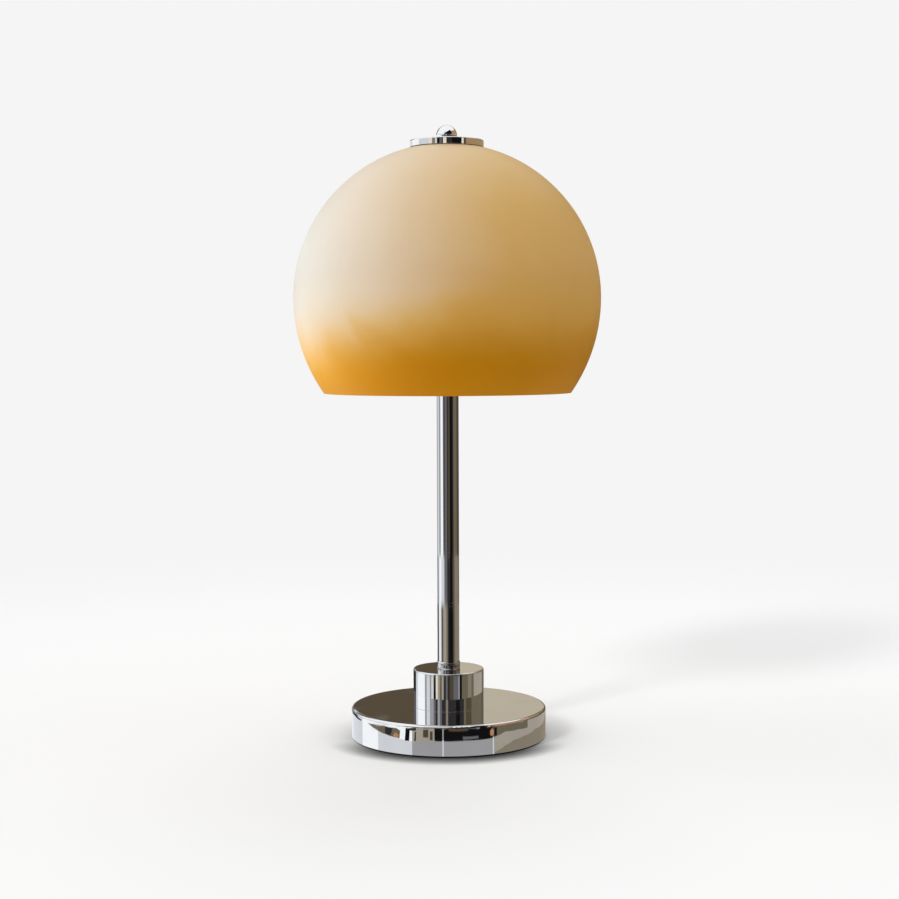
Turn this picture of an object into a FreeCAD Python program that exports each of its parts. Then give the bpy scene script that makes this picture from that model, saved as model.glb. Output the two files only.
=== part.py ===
"""Mushroom table lamp: a domed glass shade on a chromed stem, collar and round base.

Millimetres, +Z up. The origin is the middle of the foot pad's underside, on the table.
The cord inlet is at the back, on the +Y side. Every turned piece is drawn as a closed
outline of (radius, height) corners and spun round the lamp's axis.
"""

import FreeCAD, Part

import math
import os

import Sketcher
from FreeCAD import Placement, Rotation, Vector

PARTS_FOLDER = "parts"
BACK = Rotation(Vector(1, 0, 0), -90)  # turns a piece made along +Z to point to the back, +Y

# Driving sizes. Radii and heights above the table are in millimetres, angles in degrees.
SIZES = [
    # foot, base and what is inside it
    ("base_radius", 80), ("base_top", 25), ("base_edge_round", 2),
    ("shell_bottom", 1), ("shell_wall", 1.5),
    ("pad_radius", 75), ("pad_top", 2.5), ("pad_edge_round", 0.8),
    ("plate_radius", 77.5), ("plate_top", 4),
    ("weight_radius", 78), ("weight_edge", 1.2),
    ("recess_radius", 34), ("recess_top", 18), ("channel_width", 14),
    ("screw_circle", 60), ("screw_radius", 1.95), ("screw_head_radius", 3.9), ("screw_end", 12.5),
    ("screw_play", 0.1), ("screw_cross_width", 1), ("screw_cross_length", 4.4),
    ("screw_cross_depth", 1.2),
    # cord inlet
    ("inlet_height", 10.5), ("inlet_bore", 3.5), ("inlet_neck", 5.35), ("inlet_lip", 6.1),
    ("inlet_flange", 7), ("inlet_flange_depth", 2), ("inlet_lip_depth", 3),
    ("inlet_neck_depth", 1.8), ("inlet_play", 0.15),
    # terminal block
    ("block_front", 16), ("block_depth", 15), ("block_width", 22), ("block_height", 9),
    ("block_edge_round", 1.2), ("pole_pitch", 6.6), ("pole_height", 11.6),
    ("barrel_radius", 2), ("barrel_bore", 1.15), ("barrel_length", 11),
    ("clamp_screw_radius", 1.2), ("block_screw_radius", 1), ("block_screw_bite", 3.5),
    ("block_screw_head", 1.2),
    # tie tube and the stack that it holds together
    ("tube_radius", 5), ("tube_bore", 3.5), ("tube_play", 0.1), ("tube_foot", 9),
    ("tube_head", 314),
    ("washer_radius", 15), ("washer_thick", 1.5), ("lock_washer_radius", 9),
    ("lock_washer_thick", 1.4), ("tag_radius", 8.5), ("tag_thick", 0.8), ("tag_reach", 17),
    ("tag_width", 6), ("nut_flats", 17), ("nut_thick", 5),
    # collar, lock ring and stem
    ("collar_radius", 29), ("collar_top", 56), ("collar_wall", 1.5), ("collar_edge_round", 1),
    ("sleeve_radius", 8),
    ("ring_radius", 9.6), ("ring_top", 62), ("ring_chamfer", 0.6), ("flute_count", 36),
    ("flute_depth", 0.45), ("flute_width", 1),
    ("stem_radius", 9), ("stem_wall", 1.2), ("stem_top", 300), ("spigot_play", 0.05),
    ("spigot_length", 4), ("check_ring_radius", 14), ("check_ring_thick", 2.5),
    # frame that carries the shade
    ("rod_offset", 32), ("rod_radius", 2.5), ("rod_foot", 296.5), ("rod_head", 470),
    ("bar_half_width", 7), ("bar_thick", 2.5), ("bar_play", 0.1),
    ("lower_bar", 302.5), ("upper_bar", 462), ("rod_nut_flats", 8), ("rod_nut_thick", 4),
    ("stud_radius", 3), ("stud_foot", 455), ("stud_head", 495), ("stud_chamfer", 0.6),
    ("stud_nut_flats", 10), ("stud_nut_thick", 5), ("spacer_radius", 6),
    ("seat_bottom", 474.9), ("seat_radius", 26), ("seat_thick", 1.5), ("seat_lip", 1.5),
    ("gasket_inner", 16), ("gasket_outer", 24), ("gasket_thick", 2.9),
    # glass shade
    ("shade_radius", 125), ("shade_middle", 360), ("shade_rim", 283), ("shade_lower_arc", 135),
    ("glass_wall", 3), ("glass_edge_round", 0.8), ("crown_hole", 15),
    # cap, its gasket and the ball that holds them down
    ("cap_radius", 30), ("cap_top", 487.5), ("cap_skirt", 5.6), ("cap_wall", 1),
    ("cap_edge_round", 0.8), ("cap_gasket_inner", 17), ("cap_gasket_outer", 25),
    ("glass_play", 0.05),
    ("ball_radius", 8.5), ("total_height", 500), ("ball_bore_play", 0.05),
    ("ball_bore_depth", 9), ("ball_bore_chamfer", 0.5),
    # lampholder
    ("holder_bottom", 305), ("holder_nipple", 7.5), ("holder_radius", 20), ("holder_wall", 1.8),
    ("holder_shoulder", 319), ("holder_split", 330), ("holder_top", 362), ("holder_mouth", 14.6),
    ("holder_lip", 2), ("holder_neck", 18.6), ("insert_radius", 17.8), ("insert_bottom", 320.5),
    ("insert_top", 332.5), ("insert_wire_hole", 1.4), ("insert_wire_offset", 6),
    ("insert_wire_depth", 8),
    ("screw_shell_radius", 14.3), ("screw_shell_wall", 0.5), ("screw_shell_top", 357),
    ("contact_length", 20), ("contact_width", 6), ("contact_thick", 0.5),
    ("contact_rise", 4.5), ("holder_screw_radius", 1.5), ("holder_screw_offset", 11),
    # bulb
    ("bulb_tip", 337), ("bulb_contact_radius", 4.6), ("bulb_contact_top", 338.6),
    ("bulb_insulator_top", 342.4), ("bulb_cap_radius", 13.1),
    ("bulb_cap_wall", 0.5), ("bulb_cap_top", 362.6), ("bulb_thread_depth", 0.7),
    ("bulb_thread_pitch", 3.6), ("bulb_neck_radius", 13.6), ("bulb_neck_top", 386),
    ("bulb_globe_radius", 22.5), ("bulb_globe_middle", 394),
    ("bulb_wall", 1.2), ("board_radius", 17), ("board_thick", 1.5), ("chip_circle", 10),
    ("chip_side", 3), ("chip_height", 0.7), ("chip_count", 6),
    # inner leads
    ("lead_radius", 1), ("lead_spread", 1.5), ("lead_level", 6.8), ("lead_bend", 2.3),
]

doc = FreeCAD.newDocument("MushroomTableLamp")
subparts = {}


# ---------------------------------------------------------------- sizes that stay bound


def formula(size):
    """The sheet formula of a Length, or a plain number written out."""
    return size.formula if isinstance(size, Length) else repr(float(size))


def number(size):
    """The size as a plain number."""
    return size.number if isinstance(size, Length) else float(size)


class Length:
    """A number together with the sheet formula that it comes from."""

    def __init__(self, number, formula):
        self.number = number
        self.formula = formula

    def _with(self, sign, other, result):
        return Length(result, f"({self.formula} {sign} {formula(other)})")

    def __add__(self, other):
        return self._with("+", other, self.number + number(other))

    def __sub__(self, other):
        return self._with("-", other, self.number - number(other))

    def __mul__(self, other):
        return self._with("*", other, self.number * number(other))

    def __truediv__(self, other):
        return self._with("/", other, self.number / number(other))

    def __neg__(self):
        return self * -1


def root(size):
    """Square root of a Length."""
    return Length(math.sqrt(size.number), f"sqrt({size.formula})")


def leg(long_side, other_leg):
    """The other short side of a right triangle, such as the height on an arc at a radius."""
    return root(long_side * long_side - other_leg * other_leg)


def bind(item, place, size):
    """Drives one property of a document object by a size."""
    item.setExpression(place, formula(size))


class Sheet:
    """The spreadsheet of driving sizes. Each size is read as an attribute."""

    def __init__(self, rows):
        cells = doc.addObject("Spreadsheet::Sheet", "Sizes")
        self.values = {}
        for row, (alias, value) in enumerate(rows, start=1):
            cells.set(f"A{row}", alias)
            cells.set(f"B{row}", str(value))
            cells.setAlias(f"B{row}", alias)
            self.values[alias] = Length(float(value), f"Sizes.{alias}")

    def __getattr__(self, alias):
        return self.values[alias]


size = Sheet(SIZES)
doc.recompute()


# ---------------------------------------------------------------- drawing and features


def new_body(label):
    """An empty body. Its label becomes the file's name."""
    body = doc.addObject("PartDesign::Body", "Body")
    body.Label = label
    return body


def keep(label, item):
    """Marks a finished object as a sub-part that is written out under its label."""
    item.Label = label
    subparts[label] = item
    return item


def new_sketch(body, plane, across=0, up=0, out=0):
    """A sketch on one of the body's own planes, moved within it and off it."""
    sketch = body.newObject("Sketcher::SketchObject", "Outline")
    origin_plane = next(f for f in body.Origin.OriginFeatures if f.Role == plane)
    sketch.AttachmentSupport = [(origin_plane, "")]
    sketch.MapMode = "FlatFace"
    shift = Vector(number(across), number(up), number(out))
    sketch.AttachmentOffset = Placement(shift, Rotation())
    for axis, moved in zip("xyz", (across, up, out)):
        if isinstance(moved, Length):
            bind(sketch, f".AttachmentOffset.Base.{axis}", moved)
    return sketch


def pin_point(sketch, edge, end, across, up):
    """Ties one point of a sketch to its place by two bound dimensions."""
    for kind, along, axis in (("DistanceX", across, -2), ("DistanceY", up, -1)):
        here, origin, apart = (edge, end), (-1, 1), along
        if abs(number(along)) < 1e-9:
            sketch.addConstraint(Sketcher.Constraint("PointOnObject", *here, axis))
            continue
        if number(along) < 0:
            here, origin, apart = origin, here, along * -1
        name = f"{kind[-1]}{edge}_{end}"
        row = sketch.addConstraint(Sketcher.Constraint(kind, *origin, *here, number(apart)))
        sketch.renameConstraint(row, name)
        bind(sketch, f"Constraints.{name}", apart)


def centre_of_arc(start, end, radius):
    """Centre of the short arc between two points, anticlockwise if radius is positive."""
    chord = end - start
    rise = math.sqrt(max(radius * radius - chord.Length * chord.Length / 4, 0))
    left = Vector(-chord.y, chord.x, 0).normalize()
    return (start + end) / 2 + left * math.copysign(rise, radius)


def draw(sketch, corners):
    """Draws a closed outline. A corner is (across, up), or (across, up, radius) where an arc
    leaves it, anticlockwise if that radius is positive."""
    points = [Vector(number(c[0]), number(c[1]), 0) for c in corners]
    first = sketch.GeometryCount
    ends = []
    for index, corner in enumerate(corners):
        start, end = points[index], points[(index + 1) % len(points)]
        if len(corner) == 2:
            sketch.addGeometry(Part.LineSegment(start, end))
            ends.append((1, 2))
            continue
        radius = corner[2]
        centre = centre_of_arc(start, end, number(radius))
        ends.append((1, 2) if number(radius) > 0 else (2, 1))
        if number(radius) < 0:
            start, end = end, start
        turns = [math.atan2(p.y - centre.y, p.x - centre.x) for p in (start, end)]
        circle = Part.Circle(centre, Vector(0, 0, 1), abs(number(radius)))
        sketch.addGeometry(Part.ArcOfCircle(circle, *turns))
    for index, corner in enumerate(corners):
        following = (index + 1) % len(corners)
        edge, next_edge = first + index, first + following
        join = Sketcher.Constraint(
            "Coincident", edge, ends[index][1], next_edge, ends[following][0]
        )
        sketch.addConstraint(join)
        pin_point(sketch, edge, ends[index][0], corner[0], corner[1])
        if len(corner) == 3:
            radius = corner[2] if number(corner[2]) > 0 else corner[2] * -1
            row = sketch.addConstraint(Sketcher.Constraint("Radius", edge, number(radius)))
            sketch.renameConstraint(row, f"R{edge}")
            bind(sketch, f"Constraints.R{edge}", radius)


def draw_circle(sketch, radius, across=0, up=0):
    """Draws a circle."""
    middle = Vector(number(across), number(up), 0)
    edge = sketch.addGeometry(Part.Circle(middle, Vector(0, 0, 1), number(radius)))
    pin_point(sketch, edge, 3, across, up)
    row = sketch.addConstraint(Sketcher.Constraint("Radius", edge, number(radius)))
    sketch.renameConstraint(row, f"R{edge}")
    bind(sketch, f"Constraints.R{edge}", radius)


def spin(body, corners, across=0, cut=False):
    """Turns an outline of (radius, height) corners about an upright axis, at across along X."""
    sketch = new_sketch(body, "XZ_Plane", across=across)
    draw(sketch, corners)
    kind = "PartDesign::Groove" if cut else "PartDesign::Revolution"
    feature = body.newObject(kind, "Turned")
    feature.Profile = sketch
    feature.ReferenceAxis = (sketch, ["V_Axis"])
    feature.Angle = 360
    sketch.Visibility = False
    return feature


def raise_up(body, height, thick, drawing):
    """Pads what drawing(sketch) draws on the level plane, from height upwards."""
    sketch = new_sketch(body, "XY_Plane", out=height)
    drawing(sketch)
    pad = body.newObject("PartDesign::Pad", "Raised")
    pad.Profile = sketch
    pad.Length = number(thick)
    bind(pad, "Length", thick)
    return pad


def cut_away(body, sketch, depth=None, reversed_way=False):
    """Pockets a sketch, through all or to a depth."""
    pocket = body.newObject("PartDesign::Pocket", "Cut")
    pocket.Profile = sketch
    pocket.Reversed = reversed_way
    if depth is None:
        pocket.Type = "ThroughAll"
    else:
        pocket.Length = number(depth)
        bind(pocket, "Length", depth)
    return pocket


def repeat_round(body, features, count):
    """Repeats features evenly round the upright axis."""
    pattern = body.newObject("PartDesign::PolarPattern", "Repeated")
    pattern.Originals = features
    upright = next(f for f in body.Origin.OriginFeatures if f.Role == "Z_Axis")
    pattern.Axis = (upright, [""])
    pattern.Angle = 360
    pattern.Occurrences = int(number(count))
    bind(pattern, "Occurrences", count)
    body.Tip = pattern
    return pattern


def round_edges(body, radius, wanted):
    """Fillets the edges of the body's last feature for which wanted(edge) is true."""
    doc.recompute()
    base = body.Tip
    names = [f"Edge{n}" for n, e in enumerate(base.Shape.Edges, start=1) if wanted(e)]
    fillet = body.newObject("PartDesign::Fillet", "Rounded")
    fillet.Base = (base, names)
    fillet.Radius = number(radius)
    bind(fillet, "Radius", radius)
    return fillet


def is_upright(edge):
    """True for a straight edge that runs up and down."""
    return abs(edge.tangentAt(edge.FirstParameter).z) > 0.9


def washer(label, inner, outer, bottom, thick):
    """A plain flat ring."""
    body = new_body(label)
    top = bottom + thick
    spin(body, [(inner, bottom), (outer, bottom), (outer, top), (inner, top)])
    return keep(label, body)


def hex_nut(flats, thick, hole):
    """A hexagonal nut standing on the level plane, with its corners eased."""
    body = new_body("nut")
    point = flats / (2 * math.cos(math.pi / 6))
    turns = [math.radians(60 * k) for k in range(6)]
    corners = [(point * math.cos(t), point * math.sin(t)) for t in turns]

    def outline(sketch):
        draw(sketch, corners)
        draw_circle(sketch, hole)

    raise_up(body, 0, thick, outline)
    ease = thick * 0.12
    for low in (True, False):
        face = 0 if low else thick
        inside = ease if low else thick - ease
        beyond = point * 1.02
        spin(body, [(flats * 0.49, face), (beyond, face), (beyond, inside)], cut=True)
    return body


def stand(item, x=0, y=0, z=0):
    """Binds where an object stands."""
    for axis, place in zip("xyz", (x, y, z)):
        if isinstance(place, Length):
            bind(item, f".Placement.Base.{axis}", place)
    return item


def group(label, members):
    """Several separate solids under one name."""
    together = doc.addObject("Part::Compound", "Group")
    together.Links = members
    return keep(label, together)


def rounded_path(points, radius):
    """Straight runs joined by tangent arcs."""
    edges, start = [], points[0]
    for before, corner, after in zip(points, points[1:], points[2:]):
        back, ahead = (before - corner), (after - corner)
        turn = math.pi - back.getAngle(ahead)
        trim = radius * math.tan(turn / 2)
        first = corner + back.normalize() * trim
        last = corner + ahead.normalize() * trim
        bisector = (back + ahead).normalize()
        middle = corner + bisector * (radius / math.cos(turn / 2) - radius)
        edges.append(Part.LineSegment(start, first).toShape())
        edges.append(Part.Arc(first, middle, last).toShape())
        start = last
    edges.append(Part.LineSegment(start, points[-1]).toShape())
    return Part.Wire(edges)


def lead(label, points, bend):
    """An insulated wire that follows a route of straight runs and arcs."""
    path = rounded_path(points, bend)
    radius = number(size.lead_radius)
    ring = Part.Wire(Part.makeCircle(radius, points[0], points[1] - points[0]))
    wire = doc.addObject("Part::Feature", "Lead")
    wire.Shape = path.makePipeShell([ring], True, False)
    expected = math.pi * radius**2 * path.Length
    print(f"{label}: length {path.Length:.1f}, volume {wire.Shape.Volume / expected:.4f} of it")
    return keep(label, wire)


# ---------------------------------------------------------------- foot and base


def build_foot_pad():
    """Soft pad that the lamp stands on. It covers the plate's screws."""
    body = new_body("foot_pad")
    spin(body, [(0, 0), (size.pad_radius, 0), (size.pad_radius, size.pad_top), (0, size.pad_top)])
    round_edges(body, size.pad_edge_round, lambda e: e.BoundBox.ZMax < 0.1 and e.Length > 1)
    keep("foot_pad", body)


def build_bottom_plate():
    """Steel disc that closes the base, with three countersunk holes."""
    body = new_body("bottom_plate")
    low, top = size.pad_top, size.plate_top
    spin(body, [(0, low), (size.plate_radius, low), (size.plate_radius, top), (0, top)])
    head, shank = size.screw_head_radius + size.screw_play, size.screw_radius + size.screw_play
    outline = [(0, low), (head, low), (shank, top), (0, top)]
    hole = spin(body, outline, size.screw_circle, cut=True)
    repeat_round(body, [hole], 3)
    keep("bottom_plate", body)


def build_plate_screws():
    """Three cross-head countersunk screws that hold the bottom plate to the weight."""
    body = new_body("plate_screws")
    head, shank, end = size.screw_head_radius, size.screw_radius, size.screw_end
    low, cone_top = size.pad_top, size.plate_top
    tip = shank * 0.7
    outline = [(0, low), (head, low), (shank, cone_top), (shank, end - 0.8), (tip, end), (0, end)]
    screw = spin(body, outline, size.screw_circle)
    arm, half = size.screw_cross_length / 2, size.screw_cross_width / 2
    sketch = new_sketch(body, "XY_Plane", across=size.screw_circle, out=low)
    cross = [(arm, half), (half, half), (half, arm)]
    corners = []
    for sx, sy in ((1, 1), (-1, 1), (-1, -1), (1, -1)):
        turned_corner = [(x * sx, y * sy) for x, y in cross]
        corners += turned_corner if sx * sy > 0 else turned_corner[::-1]
    draw(sketch, corners)
    recess = cut_away(body, sketch, size.screw_cross_depth, reversed_way=True)
    repeat_round(body, [screw, recess], 3)
    keep("plate_screws", body)


def build_base_weight():
    """Cast iron disc that fills the base. Its recess holds the nuts and the wiring."""
    body = new_body("base_weight")
    inner_top = size.base_top - size.shell_wall
    hole, rim, edge = size.tube_radius + size.tube_play, size.weight_radius, size.weight_edge
    spin(
        body,
        [
            (hole, inner_top),
            (hole, size.recess_top),
            (size.recess_radius, size.recess_top),
            (size.recess_radius, size.plate_top),
            (rim, size.plate_top),
            (rim, inner_top - edge),
            (rim - edge, inner_top),
        ],
    )
    half = size.channel_width / 2
    low, top = size.plate_top - 1, size.recess_top
    sketch = new_sketch(body, "XZ_Plane")
    draw(sketch, [(-half, low), (half, low), (half, top), (-half, top)])
    cut_away(body, sketch)
    bore = size.screw_radius + size.screw_play
    low = size.plate_top
    depth = size.screw_end + 1.5
    hole = spin(
        body, [(0, low), (bore, low), (bore, depth), (0, depth)], size.screw_circle, cut=True
    )
    repeat_round(body, [hole], 3)
    sketch = new_sketch(body, "XY_Plane", out=size.recess_top)
    for place in block_screw_places():
        draw_circle(sketch, size.block_screw_radius + size.screw_play, *place)
    cut_away(body, sketch, size.block_screw_bite + 1, reversed_way=True)
    keep("base_weight", body)


def build_base_shell():
    """Deep-drawn chromed cover of the base, open below, with the inlet's hole at the back."""
    body = new_body("base_shell")
    outer, top, wall = size.base_radius, size.base_top, size.shell_wall
    big, small = size.base_edge_round, size.base_edge_round - size.shell_wall
    hole = size.tube_radius + size.tube_play
    inner, ceiling = outer - wall, top - wall
    spin(
        body,
        [
            (hole, top),
            (hole, ceiling),
            (inner - small, ceiling, -small),
            (inner, ceiling - small),
            (inner, size.shell_bottom),
            (outer, size.shell_bottom),
            (outer, top - big, big),
            (outer - big, top),
        ],
    )
    sketch = new_sketch(body, "XZ_Plane")
    draw_circle(sketch, size.inlet_neck + size.inlet_play, 0, size.inlet_height)
    cut_away(body, sketch)
    keep("base_shell", body)


def build_cord_inlet():
    """Bush in the back of the base that a mains cord passes through."""
    body = new_body("cord_inlet")
    bore, neck, lip, flange = (
        size.inlet_bore,
        size.inlet_neck,
        size.inlet_lip,
        size.inlet_flange,
    )
    depth = size.inlet_lip_depth
    face = depth + size.inlet_neck_depth
    outside = face + size.inlet_flange_depth
    ease = size.inlet_flange_depth * 0.5
    spin(
        body,
        [
            (bore, 0),
            (neck * 0.92, 0),
            (lip, depth),
            (neck, depth),
            (neck, face),
            (flange, face),
            (flange, outside - ease, ease),
            (flange - ease, outside),
            (bore, outside),
        ],
    )
    back_face = size.base_radius - face
    body.Placement = Placement(Vector(0, 0, 0), BACK)
    stand(body, y=back_face, z=size.inlet_height)
    keep("cord_inlet", body)


# ---------------------------------------------------------------- wiring in the base


def pole_places():
    """Where the terminal block's three poles are along X."""
    return [size.pole_pitch * k for k in (-1, 0, 1)]


def block_screw_places():
    """Where the two screws of the terminal block stand, between its poles."""
    along = size.block_front + size.block_depth / 2
    return [(size.pole_pitch * side, along) for side in (-0.5, 0.5)]


def clamp_screw_places():
    """Distances from the lamp's axis to the two clamping screws of each pole."""
    return [size.block_front + size.block_depth * part for part in (0.28, 0.72)]


def build_terminal_block():
    """Three-pole block where a mains cord meets the lamp's own leads."""
    body = new_body("terminal_block")
    top = size.recess_top
    low = top - size.block_height
    half = size.block_width / 2
    near = size.block_front
    far = near + size.block_depth

    def plan(sketch):
        draw(sketch, [(-half, near), (half, near), (half, far), (-half, far)])

    raise_up(body, low, size.block_height, plan)
    round_edges(body, size.block_edge_round, is_upright)
    sketch = new_sketch(body, "XZ_Plane")
    for place in pole_places():
        draw_circle(sketch, size.barrel_radius + size.screw_play, place, size.pole_height)
    cut_away(body, sketch)
    wells = new_sketch(body, "XY_Plane", out=low)
    for place in pole_places():
        for along in clamp_screw_places():
            draw_circle(wells, size.clamp_screw_radius + size.screw_play, place, along)
    cut_away(body, wells, size.barrel_radius, reversed_way=True)
    holes = new_sketch(body, "XY_Plane", out=low)
    for place in block_screw_places():
        draw_circle(holes, size.block_screw_radius + size.screw_play, *place)
    cut_away(body, holes, reversed_way=True)
    keep("terminal_block", body)


def build_block_screws():
    """Two small screws that hold the terminal block up against the weight."""
    screws = []
    low = size.recess_top - size.block_height
    for across, along in block_screw_places():
        shank = doc.addObject("Part::Cylinder", "Shank")
        bind(shank, "Radius", size.block_screw_radius)
        bind(shank, "Height", size.block_height + size.block_screw_bite)
        stand(shank, x=across, y=along, z=low)
        head = doc.addObject("Part::Cylinder", "Head")
        bind(head, "Radius", size.block_screw_radius * 1.9)
        bind(head, "Height", size.block_screw_head)
        stand(head, x=across, y=along, z=low - size.block_screw_head)
        screw = doc.addObject("Part::Fuse", "Screw")
        screw.Base = shank
        screw.Tool = head
        screws.append(screw)
    group("block_screws", screws)


def build_terminal_clamps():
    """Brass barrels of the terminal block, each with its two clamping screws."""
    clamps = []
    low = size.recess_top - size.block_height
    start = size.block_front + (size.block_depth - size.barrel_length) / 2
    for place in pole_places():
        barrel = doc.addObject("Part::Cylinder", "Barrel")
        bind(barrel, "Radius", size.barrel_radius)
        bind(barrel, "Height", size.barrel_length)
        bore = doc.addObject("Part::Cylinder", "BarrelBore")
        bind(bore, "Radius", size.barrel_bore)
        bind(bore, "Height", size.barrel_length)
        for piece in (barrel, bore):
            piece.Placement = Placement(Vector(0, 0, 0), BACK)
            stand(piece, x=place, y=start, z=size.pole_height)
        screws = []
        for along in clamp_screw_places():
            screw = doc.addObject("Part::Cylinder", "ClampScrew")
            bind(screw, "Radius", size.clamp_screw_radius)
            bind(screw, "Height", size.pole_height - size.barrel_bore - low)
            stand(screw, x=place, y=along, z=low)
            screws.append(screw)
        clamp = doc.addObject("Part::MultiFuse", "ClampBody")
        clamp.Shapes = [barrel, *screws]
        open_clamp = doc.addObject("Part::Cut", "Clamp")
        open_clamp.Base = clamp
        open_clamp.Tool = bore
        clamps.append(open_clamp)
    group("terminal_clamps", clamps)


def build_earth_tag():
    """Ring tag under the nut, with a tongue that the earth lead is crimped to."""
    body = new_body("earth_tag")
    half = size.tag_width / 2
    reach = size.tag_reach
    bottom = stack_heights()["tag"]

    def plan(sketch):
        side = leg(size.tag_radius, half)
        draw(sketch, [(-side, -half, size.tag_radius), (side, -half), (reach, -half),
                      (reach, half), (side, half, size.tag_radius), (-side, half, size.tag_radius)])
        draw_circle(sketch, size.tube_radius + size.tube_play)

    raise_up(body, bottom, size.tag_thick, plan)
    keep("earth_tag", body)


def stack_heights():
    """Heights of what is stacked under the weight's web, from the web down to the nut."""
    washer_low = size.recess_top - size.washer_thick
    lock_low = washer_low - size.lock_washer_thick
    tag_low = lock_low - size.tag_thick
    nut_low = tag_low - size.nut_thick
    return {"washer": washer_low, "lock": lock_low, "tag": tag_low, "nut": nut_low}


def build_base_stack():
    """Washer, lock washer and nut that pull the tie tube down."""
    hole = size.tube_radius + size.tube_play
    heights = stack_heights()
    washer("base_washer", hole, size.washer_radius, heights["washer"], size.washer_thick)
    washer(
        "lock_washer", hole, size.lock_washer_radius, heights["lock"], size.lock_washer_thick
    )
    nut = hex_nut(size.nut_flats, size.nut_thick, hole)
    stand(nut, z=heights["nut"])
    keep("base_nut", nut)


def build_leads():
    """The lamp's own leads: two up the tie tube to the lampholder, and earth to its tag."""
    pole_level, under_nut = number(size.pole_height), number(size.lead_level)
    pitch = number(size.pole_pitch)
    mouth = number(size.block_front) + 2
    drop = number(size.block_front) - 2.8
    tube_top, insert = number(size.tube_head), number(size.insert_bottom)
    bend = number(size.lead_bend)
    for label, pole, side in (("lead_live", -pitch, -1), ("lead_neutral", 0, 1)):
        rise_x = side * number(size.lead_spread)
        hole_x = side * number(size.insert_wire_offset)
        route = [
            Vector(pole, mouth, pole_level),
            Vector(pole, drop, pole_level),
            Vector(pole, drop, under_nut),
            Vector(rise_x, 0, under_nut),
            Vector(rise_x, 0, tube_top + 0.5),
            Vector(hole_x, 0, insert - 0.5),
            Vector(hole_x, 0, insert + number(size.insert_wire_depth) - 1),
        ]
        lead(label, route, bend)
    tag_x = number(size.tag_reach) - number(size.tag_width) / 2
    route = [
        Vector(pitch, mouth, pole_level),
        Vector(pitch, drop, pole_level),
        Vector(tag_x, 0, pole_level),
        Vector(tag_x, 0, number(stack_heights()["tag"])),
    ]
    lead("earth_lead", route, bend)


# ---------------------------------------------------------------- collar, ring and stem


def build_tie_tube():
    """Hollow threaded tube that holds the whole stack together and carries the leads."""
    bore, outer = size.tube_bore, size.tube_radius
    low, top = size.tube_foot, size.tube_head
    body = new_body("tie_tube")
    spin(
        body,
        [
            (bore, low),
            (outer - 0.5, low),
            (outer, low + 0.5),
            (outer, top - 0.5),
            (outer - 0.5, top),
            (bore, top),
        ],
    )
    keep("tie_tube", body)


def build_collar():
    """Chromed cup between the base and the stem."""
    body = new_body("collar")
    hole, outer, top = size.tube_radius + size.tube_play, size.collar_radius, size.collar_top
    ease, wall = size.collar_edge_round, size.collar_wall
    spin(
        body,
        [
            (hole, top),
            (hole, top - wall),
            (outer - wall, top - wall),
            (outer - wall, size.base_top),
            (outer, size.base_top),
            (outer, top - ease, ease),
            (outer - ease, top),
        ],
    )
    keep("collar", body)


def build_collar_sleeve():
    """Spacer that keeps the collar from being crushed when the nut is pulled up."""
    height = size.collar_top - size.collar_wall - size.base_top
    washer(
        "collar_sleeve", size.tube_radius + size.tube_play, size.sleeve_radius, size.base_top, height
    )


def build_lock_ring():
    """Knurled round nut on the collar, with a spigot that centres the stem."""
    body = new_body("lock_ring")
    hole, outer = size.tube_radius + size.tube_play, size.ring_radius
    low, top, ease = size.collar_top, size.ring_top, size.ring_chamfer
    spigot = size.stem_radius - size.stem_wall - size.spigot_play
    spin(
        body,
        [
            (hole, low),
            (outer - ease, low),
            (outer, low + ease),
            (outer, top - ease),
            (outer - ease, top),
            (spigot, top),
            (spigot, top + size.spigot_length),
            (hole, top + size.spigot_length),
        ],
    )
    sketch = new_sketch(body, "XY_Plane", out=low)
    half = size.flute_width / 2
    outside = outer + 1
    draw(sketch, [(outer - size.flute_depth, 0), (outside, half * -2), (outside, half * 2)])
    flute = cut_away(body, sketch, top - low, reversed_way=True)
    repeat_round(body, [flute], size.flute_count)
    keep("lock_ring", body)


def build_stem_tube():
    """Chromed stem."""
    inner = size.stem_radius - size.stem_wall
    washer("stem_tube", inner, size.stem_radius, size.ring_top, size.stem_top - size.ring_top)


def build_check_ring():
    """Turned ring that closes the stem's top and carries the shade's frame."""
    body = new_body("check_ring")
    hole = size.tube_radius + size.tube_play
    spigot = size.stem_radius - size.stem_wall - size.spigot_play
    low = size.stem_top
    top = low + size.check_ring_thick
    ease = size.check_ring_thick * 0.3
    spin(
        body,
        [
            (hole, low - size.spigot_length),
            (spigot, low - size.spigot_length),
            (spigot, low),
            (size.check_ring_radius - ease, low),
            (size.check_ring_radius, low + ease),
            (size.check_ring_radius, top),
            (hole, top),
        ],
    )
    keep("check_ring", body)


# ---------------------------------------------------------------- frame that carries the shade


def build_bar(label, bottom, centre_hole):
    """Flat bar with rounded ends and a hole for each rod."""
    body = new_body(label)
    offset, half = size.rod_offset, size.bar_half_width

    def plan(sketch):
        draw(sketch, [(-offset, -half), (offset, -half, half), (offset + half, 0, half),
                      (offset, half), (-offset, half, half), (-offset - half, 0, half)])
        draw_circle(sketch, centre_hole)
        for side in (-1, 1):
            draw_circle(sketch, size.rod_radius + size.bar_play, offset * side, 0)

    raise_up(body, bottom, size.bar_thick, plan)
    keep(label, body)


def threaded_rod(label, radius, low, top, across=0):
    """A rod with a chamfer at each end."""
    body = new_body(label)
    ease = size.stud_chamfer
    outline = [
        (0, low),
        (radius - ease, low),
        (radius, low + ease),
        (radius, top - ease),
        (radius - ease, top),
        (0, top),
    ]
    spin(body, outline, across)
    keep(label, body)


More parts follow.
